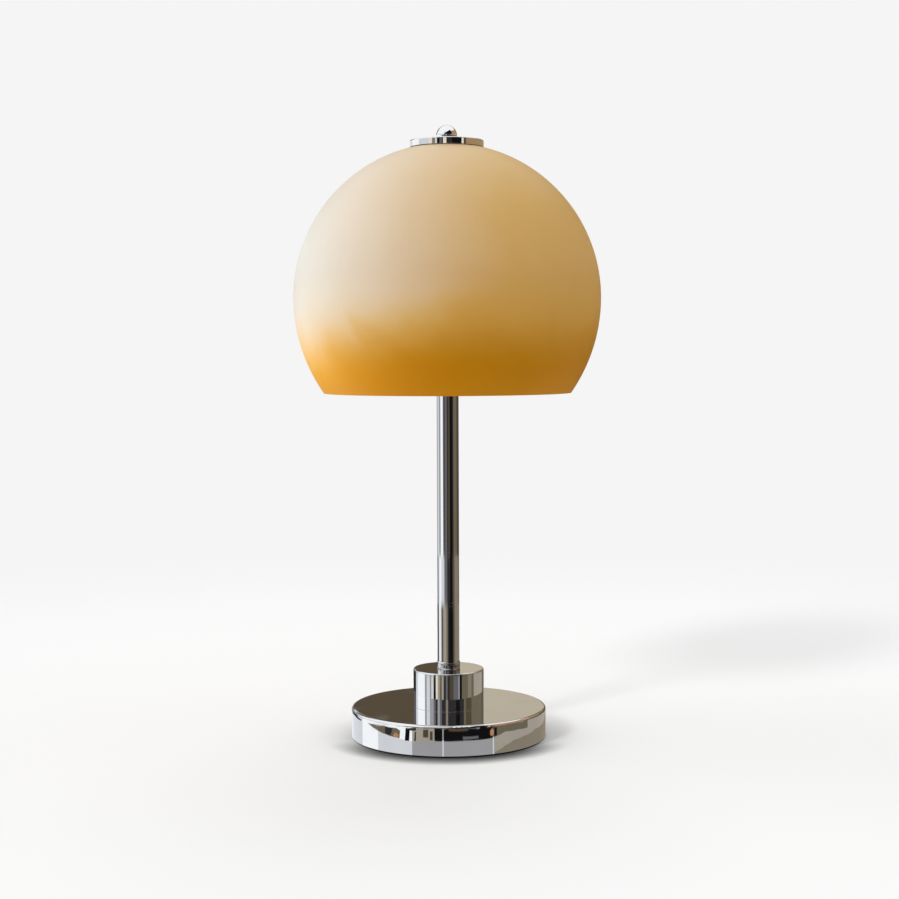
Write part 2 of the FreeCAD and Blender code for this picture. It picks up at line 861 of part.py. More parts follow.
def build_carrier():
    """Frame round the bulb: two bars, two rods, and the nuts on them."""
    build_bar("carrier_lower_bar", size.lower_bar, size.tube_radius + size.tube_play)
    build_bar("carrier_upper_bar", size.upper_bar, size.stud_radius + size.bar_play)
    nuts = []
    for side, label in ((-1, "carrier_rod_left"), (1, "carrier_rod_right")):
        across = size.rod_offset * side
        threaded_rod(label, size.rod_radius, size.rod_foot, size.rod_head, across)
        for bar in (size.lower_bar, size.upper_bar):
            for height in (bar - size.rod_nut_thick, bar + size.bar_thick):
                nut = hex_nut(
                    size.rod_nut_flats, size.rod_nut_thick, size.rod_radius + size.bar_play
                )
                nuts.append(stand(nut, x=across, z=height))
    group("carrier_nuts", nuts)


def build_shade_seat():
    """Stud, nut, spacer, disc and rubber ring that the shade sits on."""
    threaded_rod("finial_stud", size.stud_radius, size.stud_foot, size.stud_head)
    hole = size.stud_radius + size.bar_play
    nut = hex_nut(size.stud_nut_flats, size.stud_nut_thick, hole)
    stand(nut, z=size.upper_bar - size.stud_nut_thick)
    keep("stud_nut", nut)
    spacer_low = size.upper_bar + size.bar_thick
    washer("seat_spacer", hole, size.spacer_radius, spacer_low, size.seat_bottom - spacer_low)
    disc = new_body("seat_disc")
    low, outer, thick = size.seat_bottom, size.seat_radius, size.seat_thick
    spin(
        disc,
        [
            (hole, low),
            (outer - thick, low),
            (outer - thick, low - size.seat_lip),
            (outer, low - size.seat_lip),
            (outer, low + thick / 2, thick / 2),
            (outer - thick / 2, low + thick),
            (hole, low + thick),
        ],
    )
    keep("seat_disc", disc)
    washer("seat_gasket", size.gasket_inner, size.gasket_outer, low + thick, size.gasket_thick)


# ---------------------------------------------------------------- shade, cap and ball


def build_shade_glass():
    """Blown dome: a ball shape above its widest circle, a slightly flatter arc below it."""
    body = new_body("shade_glass")
    middle, rim, wall = size.shade_middle, size.shade_rim, size.glass_wall
    upper, lower = size.shade_radius, size.shade_lower_arc
    inner_upper, inner_lower = upper - wall, lower - wall
    shift = lower - upper
    drop = middle - rim
    hole = size.crown_hole
    spin(
        body,
        [
            (leg(lower, drop) - shift, rim, lower),
            (upper, middle, upper),
            (hole, middle + leg(upper, hole)),
            (hole, middle + leg(inner_upper, hole), -inner_upper),
            (inner_upper, middle, -inner_lower),
            (leg(inner_lower, drop) - shift, rim),
        ],
    )
    round_edges(
        body,
        size.glass_edge_round,
        lambda e: e.BoundBox.ZLength < 0.01 and abs(e.BoundBox.ZMax - number(middle)) > 1,
    )
    keep("shade_glass", body)


def build_cap_gasket():
    """Clear ring between the glass and the cap, shaped to the glass."""
    body = new_body("cap_gasket")
    top = size.cap_top - size.cap_wall
    arc = size.shade_radius + size.glass_play
    inner, outer = size.cap_gasket_inner, size.cap_gasket_outer
    spin(
        body,
        [
            (outer, size.shade_middle + leg(arc, outer), arc),
            (inner, size.shade_middle + leg(arc, inner)),
            (inner, top),
            (outer, top),
        ],
    )
    keep("cap_gasket", body)


def build_top_cap():
    """Chromed shallow cup on the shade's crown."""
    body = new_body("top_cap")
    outer, top, wall, ease = size.cap_radius, size.cap_top, size.cap_wall, size.cap_edge_round
    hole = size.stud_radius + size.bar_play * 3
    low = top - size.cap_skirt
    spin(
        body,
        [
            (hole, top),
            (hole, top - wall),
            (outer - wall, top - wall),
            (outer - wall, low),
            (outer, low),
            (outer, top - ease, ease),
            (outer - ease, top),
        ],
    )
    keep("top_cap", body)


def build_ball_finial():
    """Chromed ball nut with a flat seat and a blind threaded bore."""
    body = new_body("ball_finial")
    radius, low, top = size.ball_radius, size.cap_top, size.total_height
    middle = top - radius
    seat = leg(radius, middle - low)
    bore, ease = size.stud_radius + size.ball_bore_play, size.ball_bore_chamfer
    bore_top = low + size.ball_bore_depth
    spin(
        body,
        [
            (bore + ease, low),
            (seat, low, radius),
            (radius, middle, radius),
            (0, top),
            (0, bore_top),
            (bore, bore_top),
            (bore, low + ease),
        ],
    )
    keep("ball_finial", body)


# ---------------------------------------------------------------- lampholder


def build_holder_cap():
    """Lower cup of the lampholder, screwed on the tie tube."""
    body = new_body("holder_cap")
    wall, outer = size.holder_wall, size.holder_radius - size.holder_wall * 0.5
    inner, seat = size.insert_radius + 0.2, size.insert_bottom
    low, shoulder, top = size.holder_bottom, size.holder_shoulder, size.holder_split
    nipple, hole = size.holder_nipple, size.tube_radius + size.tube_play
    nipple_top = low + 3
    spin(
        body,
        [
            (hole, low),
            (nipple, low),
            (nipple, nipple_top),
            (outer, shoulder),
            (outer, top),
            (inner, top),
            (inner, seat),
            (inner - 1.5, seat),
            (nipple, nipple_top + wall * 1.4),
            (hole, nipple_top + wall * 1.4),
        ],
    )
    keep("holder_cap", body)


def build_holder_body():
    """Upper skirt of the lampholder, with ridges like the thread of a shade ring."""
    body = new_body("holder_body")
    outer, neck = size.holder_radius, size.holder_neck
    low, top, wall = size.holder_split, size.holder_top, size.holder_wall
    step = low + 8
    ridge_count = 5
    ridge = (top - step - 2) / (2 * ridge_count)
    corners = [(outer - wall, low), (outer, low), (outer, step)]
    for k in range(ridge_count):
        start = step + ridge * (2 * k)
        corners += [(neck, start + ridge * 0.3), (neck, start + ridge)]
        corners += [(neck + 0.7, start + ridge * 1.3), (neck + 0.7, start + ridge * 2)]
    corners += [(neck, top - 1.2), (neck - 1, top), (size.holder_mouth, top)]
    corners += [(size.holder_mouth, top - size.holder_lip)]
    corners += [(neck - wall, top - size.holder_lip), (neck - wall, step), (outer - wall, step)]
    spin(body, corners)
    keep("holder_body", body)


def build_holder_insert():
    """Porcelain core of the lampholder, with the two wire holes."""
    body = new_body("holder_insert")
    low, top = size.insert_bottom, size.insert_top
    edge = size.insert_radius - 1
    spin(
        body,
        [
            (0, low),
            (edge, low),
            (size.insert_radius, low + 1),
            (size.insert_radius, top),
            (0, top),
        ],
    )
    sketch = new_sketch(body, "XY_Plane", out=low)
    for side in (-1, 1):
        draw_circle(sketch, size.insert_wire_hole, size.insert_wire_offset * side, 0)
    cut_away(body, sketch, size.insert_wire_depth, reversed_way=True)
    keep("holder_insert", body)


def build_holder_contacts():
    """Screw shell, centre contact spring and terminal screws of the lampholder."""
    shell = new_body("holder_screw_shell")
    outer, wall = size.screw_shell_radius, size.screw_shell_wall
    low, top = size.insert_top, size.screw_shell_top
    spin(
        shell,
        [
            (outer - 3, low),
            (outer, low),
            (outer, top),
            (outer - wall, top),
            (outer - wall, low + wall),
            (outer - 3, low + wall),
        ],
    )
    keep("holder_screw_shell", shell)
    contact = new_body("holder_contact")
    half, thick = size.contact_length / 2, size.contact_thick
    foot, rise = size.insert_top, size.contact_rise
    sketch = new_sketch(contact, "XZ_Plane", out=size.contact_width / -2)
    draw(
        sketch,
        [
            (-half, foot),
            (half * -0.5, foot),
            (half * -0.15, foot + rise - thick),
            (half * 0.2, foot + rise - thick),
            (half * 0.2, foot + rise),
            (half * -0.25, foot + rise),
            (half * -0.6, foot + thick),
            (-half, foot + thick),
        ],
    )
    pad = contact.newObject("PartDesign::Pad", "Spring")
    pad.Profile = sketch
    pad.Length = number(size.contact_width)
    bind(pad, "Length", size.contact_width)
    keep("holder_contact", contact)
    screws = []
    for side in (-1, 1):
        screw = doc.addObject("Part::Cylinder", "TerminalScrew")
        bind(screw, "Radius", size.holder_screw_radius)
        bind(screw, "Height", 1.6)
        stand(screw, y=size.holder_screw_offset * side, z=size.insert_bottom - 1.6)
        screws.append(screw)
    group("holder_screws", screws)


# ---------------------------------------------------------------- bulb


def build_bulb_base():
    """Tip contact, insulator and ridged screw cap of the bulb."""
    tip, contact = size.bulb_tip, size.bulb_contact_radius
    top = size.bulb_contact_top
    body = new_body("bulb_contact")
    spin(body, [(0, tip), (contact * 0.6, tip), (contact, top), (0, top)])
    keep("bulb_contact", body)
    insulator = new_body("bulb_insulator")
    wide, shoulder = size.bulb_cap_radius - size.bulb_thread_depth, size.bulb_insulator_top
    spin(
        insulator,
        [(0, top), (contact, top), (wide, shoulder - 0.8), (wide, shoulder), (0, shoulder)],
    )
    keep("bulb_insulator", insulator)
    cap = new_body("bulb_screw_cap")
    outer, wall, pitch = size.bulb_cap_radius, size.bulb_cap_wall, size.bulb_thread_pitch
    valley = outer - size.bulb_thread_depth
    ridges = 4
    corners = [(valley - wall, shoulder), (valley, shoulder)]
    for k in range(ridges):
        base = shoulder + 0.8 + pitch * k
        corners += [(valley, base), (outer, base + pitch * 0.3)]
        corners += [(outer, base + pitch * 0.6), (valley, base + pitch * 0.9)]
    corners += [(valley, size.bulb_cap_top), (valley - wall, size.bulb_cap_top)]
    spin(cap, corners)
    keep("bulb_screw_cap", cap)


def build_bulb_head():
    """Housing, frosted globe, board and light chips of the bulb."""
    low, top, wall = size.bulb_cap_top, size.bulb_neck_top, size.bulb_wall
    radius, middle = size.bulb_globe_radius, size.bulb_globe_middle
    drop, inner = middle - top, radius - wall
    neck, shoulder, seat = size.bulb_neck_radius, leg(radius, drop), size.board_radius - 1
    housing = new_body("bulb_housing")
    mid = (low + top) / 2
    spin(
        housing,
        [
            (neck - wall * 2, low),
            (neck, low),
            (neck + 1.2, mid),
            (shoulder, top),
            (seat, top),
            (seat, top - wall),
            (neck + 1.2 - wall, mid),
            (neck - wall * 2, low + wall),
        ],
    )
    keep("bulb_housing", housing)
    globe = new_body("bulb_globe")
    spin(
        globe,
        [
            (shoulder, top, radius),
            (radius, middle, radius),
            (0, middle + radius),
            (0, middle + inner, -inner),
            (inner, middle, -inner),
            (leg(inner, drop), top),
        ],
    )
    keep("bulb_globe", globe)
    board = new_body("led_board")
    board_top = top + size.board_thick
    spin(board, [(0, top), (size.board_radius, top), (size.board_radius, board_top), (0, board_top)])
    keep("led_board", board)
    chips = new_body("led_chips")
    half = size.chip_side / 2

    def plan(sketch):
        near, far = size.chip_circle - half, size.chip_circle + half
        draw(sketch, [(near, -half), (far, -half), (far, half), (near, half)])

    chip = raise_up(chips, board_top, size.chip_height, plan)
    repeat_round(chips, [chip], size.chip_count)
    keep("led_chips", chips)


# ---------------------------------------------------------------- build, check and write


def build():
    """Builds every sub-part, from the table upwards."""
    build_foot_pad()
    build_bottom_plate()
    build_plate_screws()
    build_base_weight()
    build_base_shell()
    build_cord_inlet()
    build_terminal_block()
    build_terminal_clamps()
    build_block_screws()
    build_earth_tag()
    build_base_stack()
    build_tie_tube()
    build_collar()
    build_collar_sleeve()
    build_lock_ring()
    build_stem_tube()
    build_check_ring()
    build_carrier()
    build_shade_seat()
    build_shade_glass()
    build_cap_gasket()
    build_top_cap()
    build_ball_finial()
    build_holder_cap()
    build_holder_body()
    build_holder_insert()
    build_holder_contacts()
    build_bulb_base()
    build_bulb_head()
    build_leads()


def check():
    """Stops if any object failed, or any sub-part has no valid closed shape."""
    for item in doc.Objects:
        if "Invalid" in item.State or "Error" in item.State:
            raise RuntimeError(f"{item.Name} ({item.Label}) failed: {item.State}")
    for label, item in subparts.items():
        shape = item.Shape
        if shape.isNull() or not shape.isValid() or not shape.Solids:
            raise RuntimeError(f"{label} has no valid solid")
        if any(solid.Volume <= 0 for solid in shape.Solids):
            raise RuntimeError(f"{label} has a solid with no volume")


def write():
    """Writes each sub-part to its own STEP file."""
    os.makedirs(PARTS_FOLDER, exist_ok=True)
    for label, item in subparts.items():
        item.Shape.exportStep(os.path.join(PARTS_FOLDER, f"{label}.step"))
        box = item.Shape.BoundBox
        print(
            f"{label}: {len(item.Shape.Solids)} solid(s), {item.Shape.Volume / 1000:.2f} cm3,"
            f" z {box.ZMin:.2f} to {box.ZMax:.2f}, widest {max(box.XLength, box.YLength):.2f}"
        )


build()
doc.recompute()
check()
write()
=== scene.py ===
"""The looks of a mushroom table lamp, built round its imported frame.

Lengths are in metres in the lamp's own frame: Z is up and the camera looks along +Y. An
azimuth is in degrees round the lamp, 0 towards the camera, 90 towards +X and -90 towards -X.
"""

import logging
import math
from collections.abc import Callable, Sequence
from dataclasses import dataclass, field
from enum import Enum

import bmesh
import bpy
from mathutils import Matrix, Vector


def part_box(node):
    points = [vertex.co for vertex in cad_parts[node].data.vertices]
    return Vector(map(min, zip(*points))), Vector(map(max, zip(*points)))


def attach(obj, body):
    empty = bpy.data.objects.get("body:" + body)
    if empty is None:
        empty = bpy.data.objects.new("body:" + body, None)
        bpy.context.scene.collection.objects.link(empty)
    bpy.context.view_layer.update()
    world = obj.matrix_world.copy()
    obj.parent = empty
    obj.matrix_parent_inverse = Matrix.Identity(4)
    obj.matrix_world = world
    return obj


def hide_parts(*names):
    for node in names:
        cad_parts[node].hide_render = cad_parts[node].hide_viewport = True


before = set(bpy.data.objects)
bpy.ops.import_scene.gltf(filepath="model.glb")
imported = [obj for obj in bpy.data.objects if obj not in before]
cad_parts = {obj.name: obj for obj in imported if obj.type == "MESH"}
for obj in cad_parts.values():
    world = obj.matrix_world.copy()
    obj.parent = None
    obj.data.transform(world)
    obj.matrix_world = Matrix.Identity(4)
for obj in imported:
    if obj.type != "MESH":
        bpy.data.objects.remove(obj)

LOG = logging.getLogger("mushroom_lamp")
MM = 0.001
FULL_TURN = 2 * math.pi
MERGE_GAP = 1e-6
SMOOTH_ANGLE = math.radians(32)
SHARP_ANGLE = math.radians(40)
ROUND_STEPS = 144  # faces round a wide turned piece
SLIM_STEPS = 96  # faces round a narrow one
CORNER_STEPS = 8
BACKGROUND = (245, 245, 245)
FLOOR_TONE = (251, 251, 251)
DUST_TONE = (196, 192, 184)
CHROME_SHINE = 0.63  # share of the light that the plating sends back
GLAZE_ROUGHNESS = 0.06
GLOW_REACH = 4 * MM  # how far light spreads inside a soft plastic
FLAT_STRIP = 0.1 * MM  # beside a rounding, so that the wall there mirrors as a flat one

Colour = tuple[float, float, float]
Tone = tuple[int, int, int]
Point = tuple[float, float]
Sockets = bpy.types.NodeOutputs
Results = dict[str, bpy.types.NodeSocket]


def linear(tone: Tone) -> Colour:
    """Turns a colour as a screen shows it, from 0 to 255, into linear light from 0 to 1."""
    parts = [c / 255 for c in tone]
    return tuple(c / 12.92 if c <= 0.04045 else ((c + 0.055) / 1.055) ** 2.4 for c in parts)


def around(azimuth: float, radius: float, height: float = 0.0) -> Vector:
    """The place at an azimuth, a distance from the lamp's axis and a height."""
    turn = math.radians(azimuth)
    return Vector((math.sin(turn) * radius, -math.cos(turn) * radius, height))


# ------------------------------------------------------------------------------ hand tools


class Bench:
    """Hand tools that work on one piece at a time."""

    @staticmethod
    def clear() -> None:
        """Leaves edit mode and lets go of everything."""
        if bpy.context.object and bpy.context.object.mode != "OBJECT":
            bpy.ops.object.mode_set(mode="OBJECT")
        bpy.ops.object.select_all(action="DESELECT")

    @staticmethod
    def take(piece: bpy.types.Object) -> None:
        """Selects one piece and nothing else.

        Args:
            piece: The piece to work on.
        """
        Bench.clear()
        piece.select_set(True)
        bpy.context.view_layer.objects.active = piece

    @staticmethod
    def open(piece: bpy.types.Object, kind: str = "VERT") -> None:
        """Opens a piece for editing.

        Args:
            piece: The piece to edit.
            kind: What is selected in it: VERT, EDGE or FACE.
        """
        Bench.take(piece)
        bpy.ops.object.mode_set(mode="EDIT")
        bpy.ops.mesh.select_mode(type=kind)

    @staticmethod
    def pick_edges(piece: bpy.types.Object, wanted: Callable[[Vector, Vector], bool]) -> None:
        """Selects edges of the opened piece by the places of their ends.

        Args:
            piece: The piece that is open in edit mode.
            wanted: Says of an edge's two ends whether the edge is wanted.
        """
        bpy.ops.mesh.select_mode(type="EDGE")
        bpy.ops.mesh.select_all(action="DESELECT")
        mesh = bmesh.from_edit_mesh(piece.data)
        for edge in mesh.edges:
            edge.select_set(wanted(edge.verts[0].co, edge.verts[1].co))
        bmesh.update_edit_mesh(piece.data)

    @staticmethod
    def pick_points(piece: bpy.types.Object, wanted: Callable[[Vector], bool]) -> None:
        """Selects points of the opened piece by their place.

        Args:
            piece: The piece that is open in edit mode.
            wanted: Says of a place whether the point there is wanted.
        """
        bpy.ops.mesh.select_mode(type="VERT")
        bpy.ops.mesh.select_all(action="DESELECT")
        mesh = bmesh.from_edit_mesh(piece.data)
        for point in mesh.verts:
            point.select_set(wanted(point.co))
        mesh.select_flush(True)
        bmesh.update_edit_mesh(piece.data)

    @staticmethod
    def close_skin() -> None:
        """Merges doubles of the opened piece and turns its faces outwards."""
        bpy.ops.mesh.select_all(action="SELECT")
        bpy.ops.mesh.remove_doubles(threshold=MERGE_GAP)
        bpy.ops.mesh.normals_make_consistent(inside=False)

    @staticmethod
    def settle(piece: bpy.types.Object) -> None:
        """Puts a piece's place into its mesh and smooths its round faces.

        Args:
            piece: The piece to finish.
        """
        Bench.take(piece)
        bpy.ops.object.transform_apply(location=True, rotation=True, scale=True)
        bpy.ops.object.shade_smooth_by_angle(angle=SMOOTH_ANGLE)

    @staticmethod
    def ease_edges(piece: bpy.types.Object, width: float, segments: int = 3) -> None:
        """Rounds every sharp edge of a piece a little.

        Args:
            piece: The piece to ease.
            width: Width of the rounding.
            segments: Faces across the rounding.
        """
        Bench.take(piece)
        bevel = piece.modifiers.new("eased edges", "BEVEL")
        bevel.width, bevel.segments = width, segments
        bevel.limit_method, bevel.angle_limit = "ANGLE", SHARP_ANGLE
        bpy.ops.object.modifier_apply(modifier=bevel.name)

    @staticmethod
    def copy(piece: bpy.types.Object, name: str, shift: Vector) -> bpy.types.Object:
        """Copies a finished piece with a mesh of its own.

        Args:
            piece: The piece to copy.
            name: Name of the copy.
            shift: Way from the piece to its copy.

        Returns:
            The copy, with its place in its mesh.
        """
        Bench.take(piece)
        bpy.ops.object.duplicate(linked=False)
        made = bpy.context.active_object
        made.name = made.data.name = name
        made.location = shift
        Bench.settle(made)
        return made


class Outline:
    """Half the section of a turned piece, drawn in the plane of X and Z point by point."""

    def __init__(self, name: str, radius: float, height: float) -> None:
        """Starts the outline at one point.

        Args:
            name: Name of the piece.
            radius: Distance of the first point from the axis.
            height: Height of the first point.
        """
        Bench.clear()
        bpy.ops.mesh.primitive_plane_add(size=MM, location=(radius, 0.0, height))
        self.piece = bpy.context.active_object
        self.piece.name = self.piece.data.name = name
        bpy.ops.object.mode_set(mode="EDIT")
        bpy.ops.mesh.select_mode(type="VERT")
        bpy.ops.mesh.select_all(action="SELECT")
        bpy.ops.mesh.merge(type="CENTER")
        self.radius, self.height = radius, height

    def line(self, radius: float, height: float) -> "Outline":
        """Goes straight to a point.

        Args:
            radius: Distance of the point from the axis.
            height: Height of the point.

        Returns:
            The outline itself, for the next call.
        """
        shift = (radius - self.radius, 0.0, height - self.height)
        bpy.ops.mesh.extrude_vertices_move(TRANSFORM_OT_translate={"value": shift})
        self.radius, self.height = radius, height
        return self

    def arc(self, middle: Point, degrees: float, steps: int) -> "Outline":
        """Goes round a centre.

        Args:
            middle: Radius and height of the arc's centre.
            degrees: Turn of the arc, positive from outwards to upwards.
            steps: Straight runs that make the arc.

        Returns:
            The outline itself, for the next call.
        """
        turn = math.radians(degrees)
        centre = (middle[0], 0.0, middle[1])
        bpy.ops.mesh.spin(steps=steps, angle=turn, center=centre, axis=(0, 1, 0))
        across, up = self.radius - middle[0], self.height - middle[1]
        self.radius = middle[0] + across * math.cos(turn) - up * math.sin(turn)
        self.height = middle[1] + across * math.sin(turn) + up * math.cos(turn)
        return self

    def corner(self, radius: float, height: float, ease: float) -> "Outline":
        """Goes outwards to a wall and round the soft corner between.

        Args:
            radius: Radius of the wall.
            height: Height of the level face.
            ease: Radius of the corner.

        Returns:
            The outline itself, for the next call.
        """
        self.line(radius - ease - FLAT_STRIP, height).line(radius - ease, height)
        self.arc((radius - ease, height - ease), -90, CORNER_STEPS)
        return self.line(radius, height - ease - FLAT_STRIP)

    def spin(self, steps: int) -> bpy.types.Object:
        """Spins the outline round the lamp's axis and closes its skin.

        Args:
            steps: Faces round the piece.

        Returns:
            The finished piece.
        """
        bpy.ops.mesh.select_all(action="SELECT")
        bpy.ops.mesh.spin(steps=steps, angle=FULL_TURN, center=(0, 0, 0), axis=(0, 0, 1))
        Bench.close_skin()
        Bench.settle(self.piece)
        return self.piece


@dataclass(frozen=True)
class Thread:
    """A screw thread, as a helical skin cut square at both ends.

    Attributes:
        name: Name of the piece.
        valley: Radius at the bottom of the thread.
        crest: Radius at the top of the thread.
        pitch: Rise for each turn.
        low: Height of its lower end.
        high: Height of its upper end.
        rolled: True for a sheet thread with a round crest.
        steps: Faces for each turn.
        waves: Straight runs across one turn of a rolled thread.
    """

    name: str
    valley: float
    crest: float
    pitch: float
    low: float
    high: float
    rolled: bool = False
    steps: int = 32
    waves: int = 10

    def outline(self) -> list[Point]:
        """Section of one turn, from valley to valley.

        Returns:
            Radius and height of each point after the first.
        """
        depth = self.crest - self.valley
        if not self.rolled:
            flat = self.pitch / 8
            rise = (self.pitch - 2 * flat) / 2
            return [(self.crest, rise), (self.crest, rise + flat), (self.valley, 2 * rise + flat),
                    (self.valley, self.pitch)]
        turns = [FULL_TURN * step / self.waves for step in range(1, self.waves + 1)]
        return [(self.valley + depth * (1 - math.cos(t)) / 2, self.pitch * t / FULL_TURN)
                for t in turns]

    def cut(self) -> bpy.types.Object:
        """Makes the threaded piece.

        Returns:
            The finished piece.
        """
        start = self.low - 2 * self.pitch
        section = Outline(self.name, self.valley, start)
        for radius, rise in self.outline():
            section.line(radius, start + rise)
        piece = section.piece
        Bench.take(piece)
        bpy.ops.object.transform_apply(location=True, rotation=True, scale=True)
        screw = piece.modifiers.new("thread", "SCREW")
        screw.screw_offset = self.pitch
        screw.iterations = math.ceil((self.high - self.low) / self.pitch) + 4
        screw.steps = screw.render_steps = self.steps
        bpy.ops.object.modifier_apply(modifier=screw.name)
        Bench.open(piece)
        bpy.ops.mesh.select_all(action="SELECT")
        bpy.ops.mesh.remove_doubles(threshold=MERGE_GAP)
        for height, side in ((self.low, "clear_inner"), (self.high, "clear_outer")):
            bpy.ops.mesh.select_all(action="SELECT")
            bpy.ops.mesh.bisect(
                plane_co=(0, 0, height), plane_no=(0, 0, 1), use_fill=True, **{side: True}
            )
        Bench.close_skin()
        Bench.settle(piece)
        return piece


# ------------------------------------------------------------------------------ node trees


class Graph:
    """The node tree of one material or of one shared effect."""

    def __init__(self, tree: bpy.types.NodeTree) -> None:
        """Holds the tree that nodes are added to."""
        self.tree = tree

    @classmethod
    def blank(cls, owner: bpy.types.Material | bpy.types.World) -> "Graph":
        """Empties the node tree of a material or a world.

        Args:
            owner: The material or world.

        Returns:
            Its graph, without a node in it.
        """
        owner.use_nodes = True
        owner.node_tree.nodes.clear()
        return cls(owner.node_tree)

    def add(self, kind: str, inputs: dict[str, object] | None = None, **settings: object
            ) -> bpy.types.Node:
        """Adds a node, sets its properties and fills or links its inputs.

        Args:
            kind: The node's type.
            inputs: For each input's name or number, a value or the output to link to it.
            settings: Properties of the node.

        Returns:
            The node.
        """
        node = self.tree.nodes.new(kind)
        for name, value in settings.items():
            setattr(node, name, value)
        for name, value in (inputs or {}).items():
            socket = node.inputs[name]
            if isinstance(value, bpy.types.NodeSocket):
                self.tree.links.new(value, socket)
            else:
                socket.default_value = value
        return node

    def math(self, operation: str, *terms: object, clamp: bool = False) -> bpy.types.NodeSocket:
        """Adds a step of arithmetic on values or outputs; clamp keeps it between 0 and 1."""
        return self.add("ShaderNodeMath", dict(enumerate(terms)), operation=operation,
                        use_clamp=clamp).outputs[0]

    def rescale(self, value: bpy.types.NodeSocket, *bounds: object) -> bpy.types.NodeSocket:
        """Carries a value from one range to another, smoothly.

        Args:
            value: The output to carry over.
            bounds: Lowest and highest value before, then lowest and highest after.

        Returns:
            The result's output.
        """
        names = ("From Min", "From Max", "To Min", "To Max")
        inputs = {"Value": value, **dict(zip(names, bounds))}
        node = self.add("ShaderNodeMapRange", inputs, interpolation_type="SMOOTHSTEP")
        return node.outputs["Result"]

    def mix(self, share: object, first: object, second: object) -> bpy.types.NodeSocket:
        """Mixes two colours.

        Args:
            share: How much of the second colour shows, from 0 to 1.
            first: The first colour or an output.
            second: The second colour or an output.

        Returns:
            The mixed colour's output.
        """
        first, second = ((*value, 1.0) if isinstance(value, tuple) else value
                         for value in (first, second))
        inputs = {0: share, 6: first, 7: second}
        return self.add("ShaderNodeMix", inputs, data_type="RGBA").outputs[2]

    def ramp(self, value: bpy.types.NodeSocket, stops: Sequence[tuple[float, Tone]]
             ) -> bpy.types.NodeSocket:
        """Reads a colour off a ramp.

        Args:
            value: Where on the ramp, from 0 to 1.
            stops: Each stop's position and colour.

        Returns:
            The colour's output.
        """
        node = self.add("ShaderNodeValToRGB", {"Fac": value})
        node.color_ramp.interpolation = "CARDINAL"
        elements = node.color_ramp.elements
        while len(elements) < len(stops):
            elements.new(1.0)
        for element, (position, tone) in zip(elements, stops):
            element.position, element.color = position, (*linear(tone), 1.0)
        return node.outputs["Color"]

    def noise(self, place: object, scale: object, detail: float, roughness: float,
              distortion: float = 0.0) -> bpy.types.NodeSocket:
        """Adds a cloud pattern.

        Args:
            place: Where on the piece.
            scale: Clouds per metre.
            detail: Finer layers on top of the first one.
            roughness: How strong the finer layers are.
            distortion: How far the clouds are dragged out of shape.

        Returns:
            The pattern's output, from 0 to 1.
        """
        inputs = {"Vector": place, "Scale": scale, "Detail": detail, "Roughness": roughness,
                  "Distortion": distortion}
        return self.add("ShaderNodeTexNoise", inputs).outputs["Fac"]


Filling = Callable[[Graph, Sockets], Results]


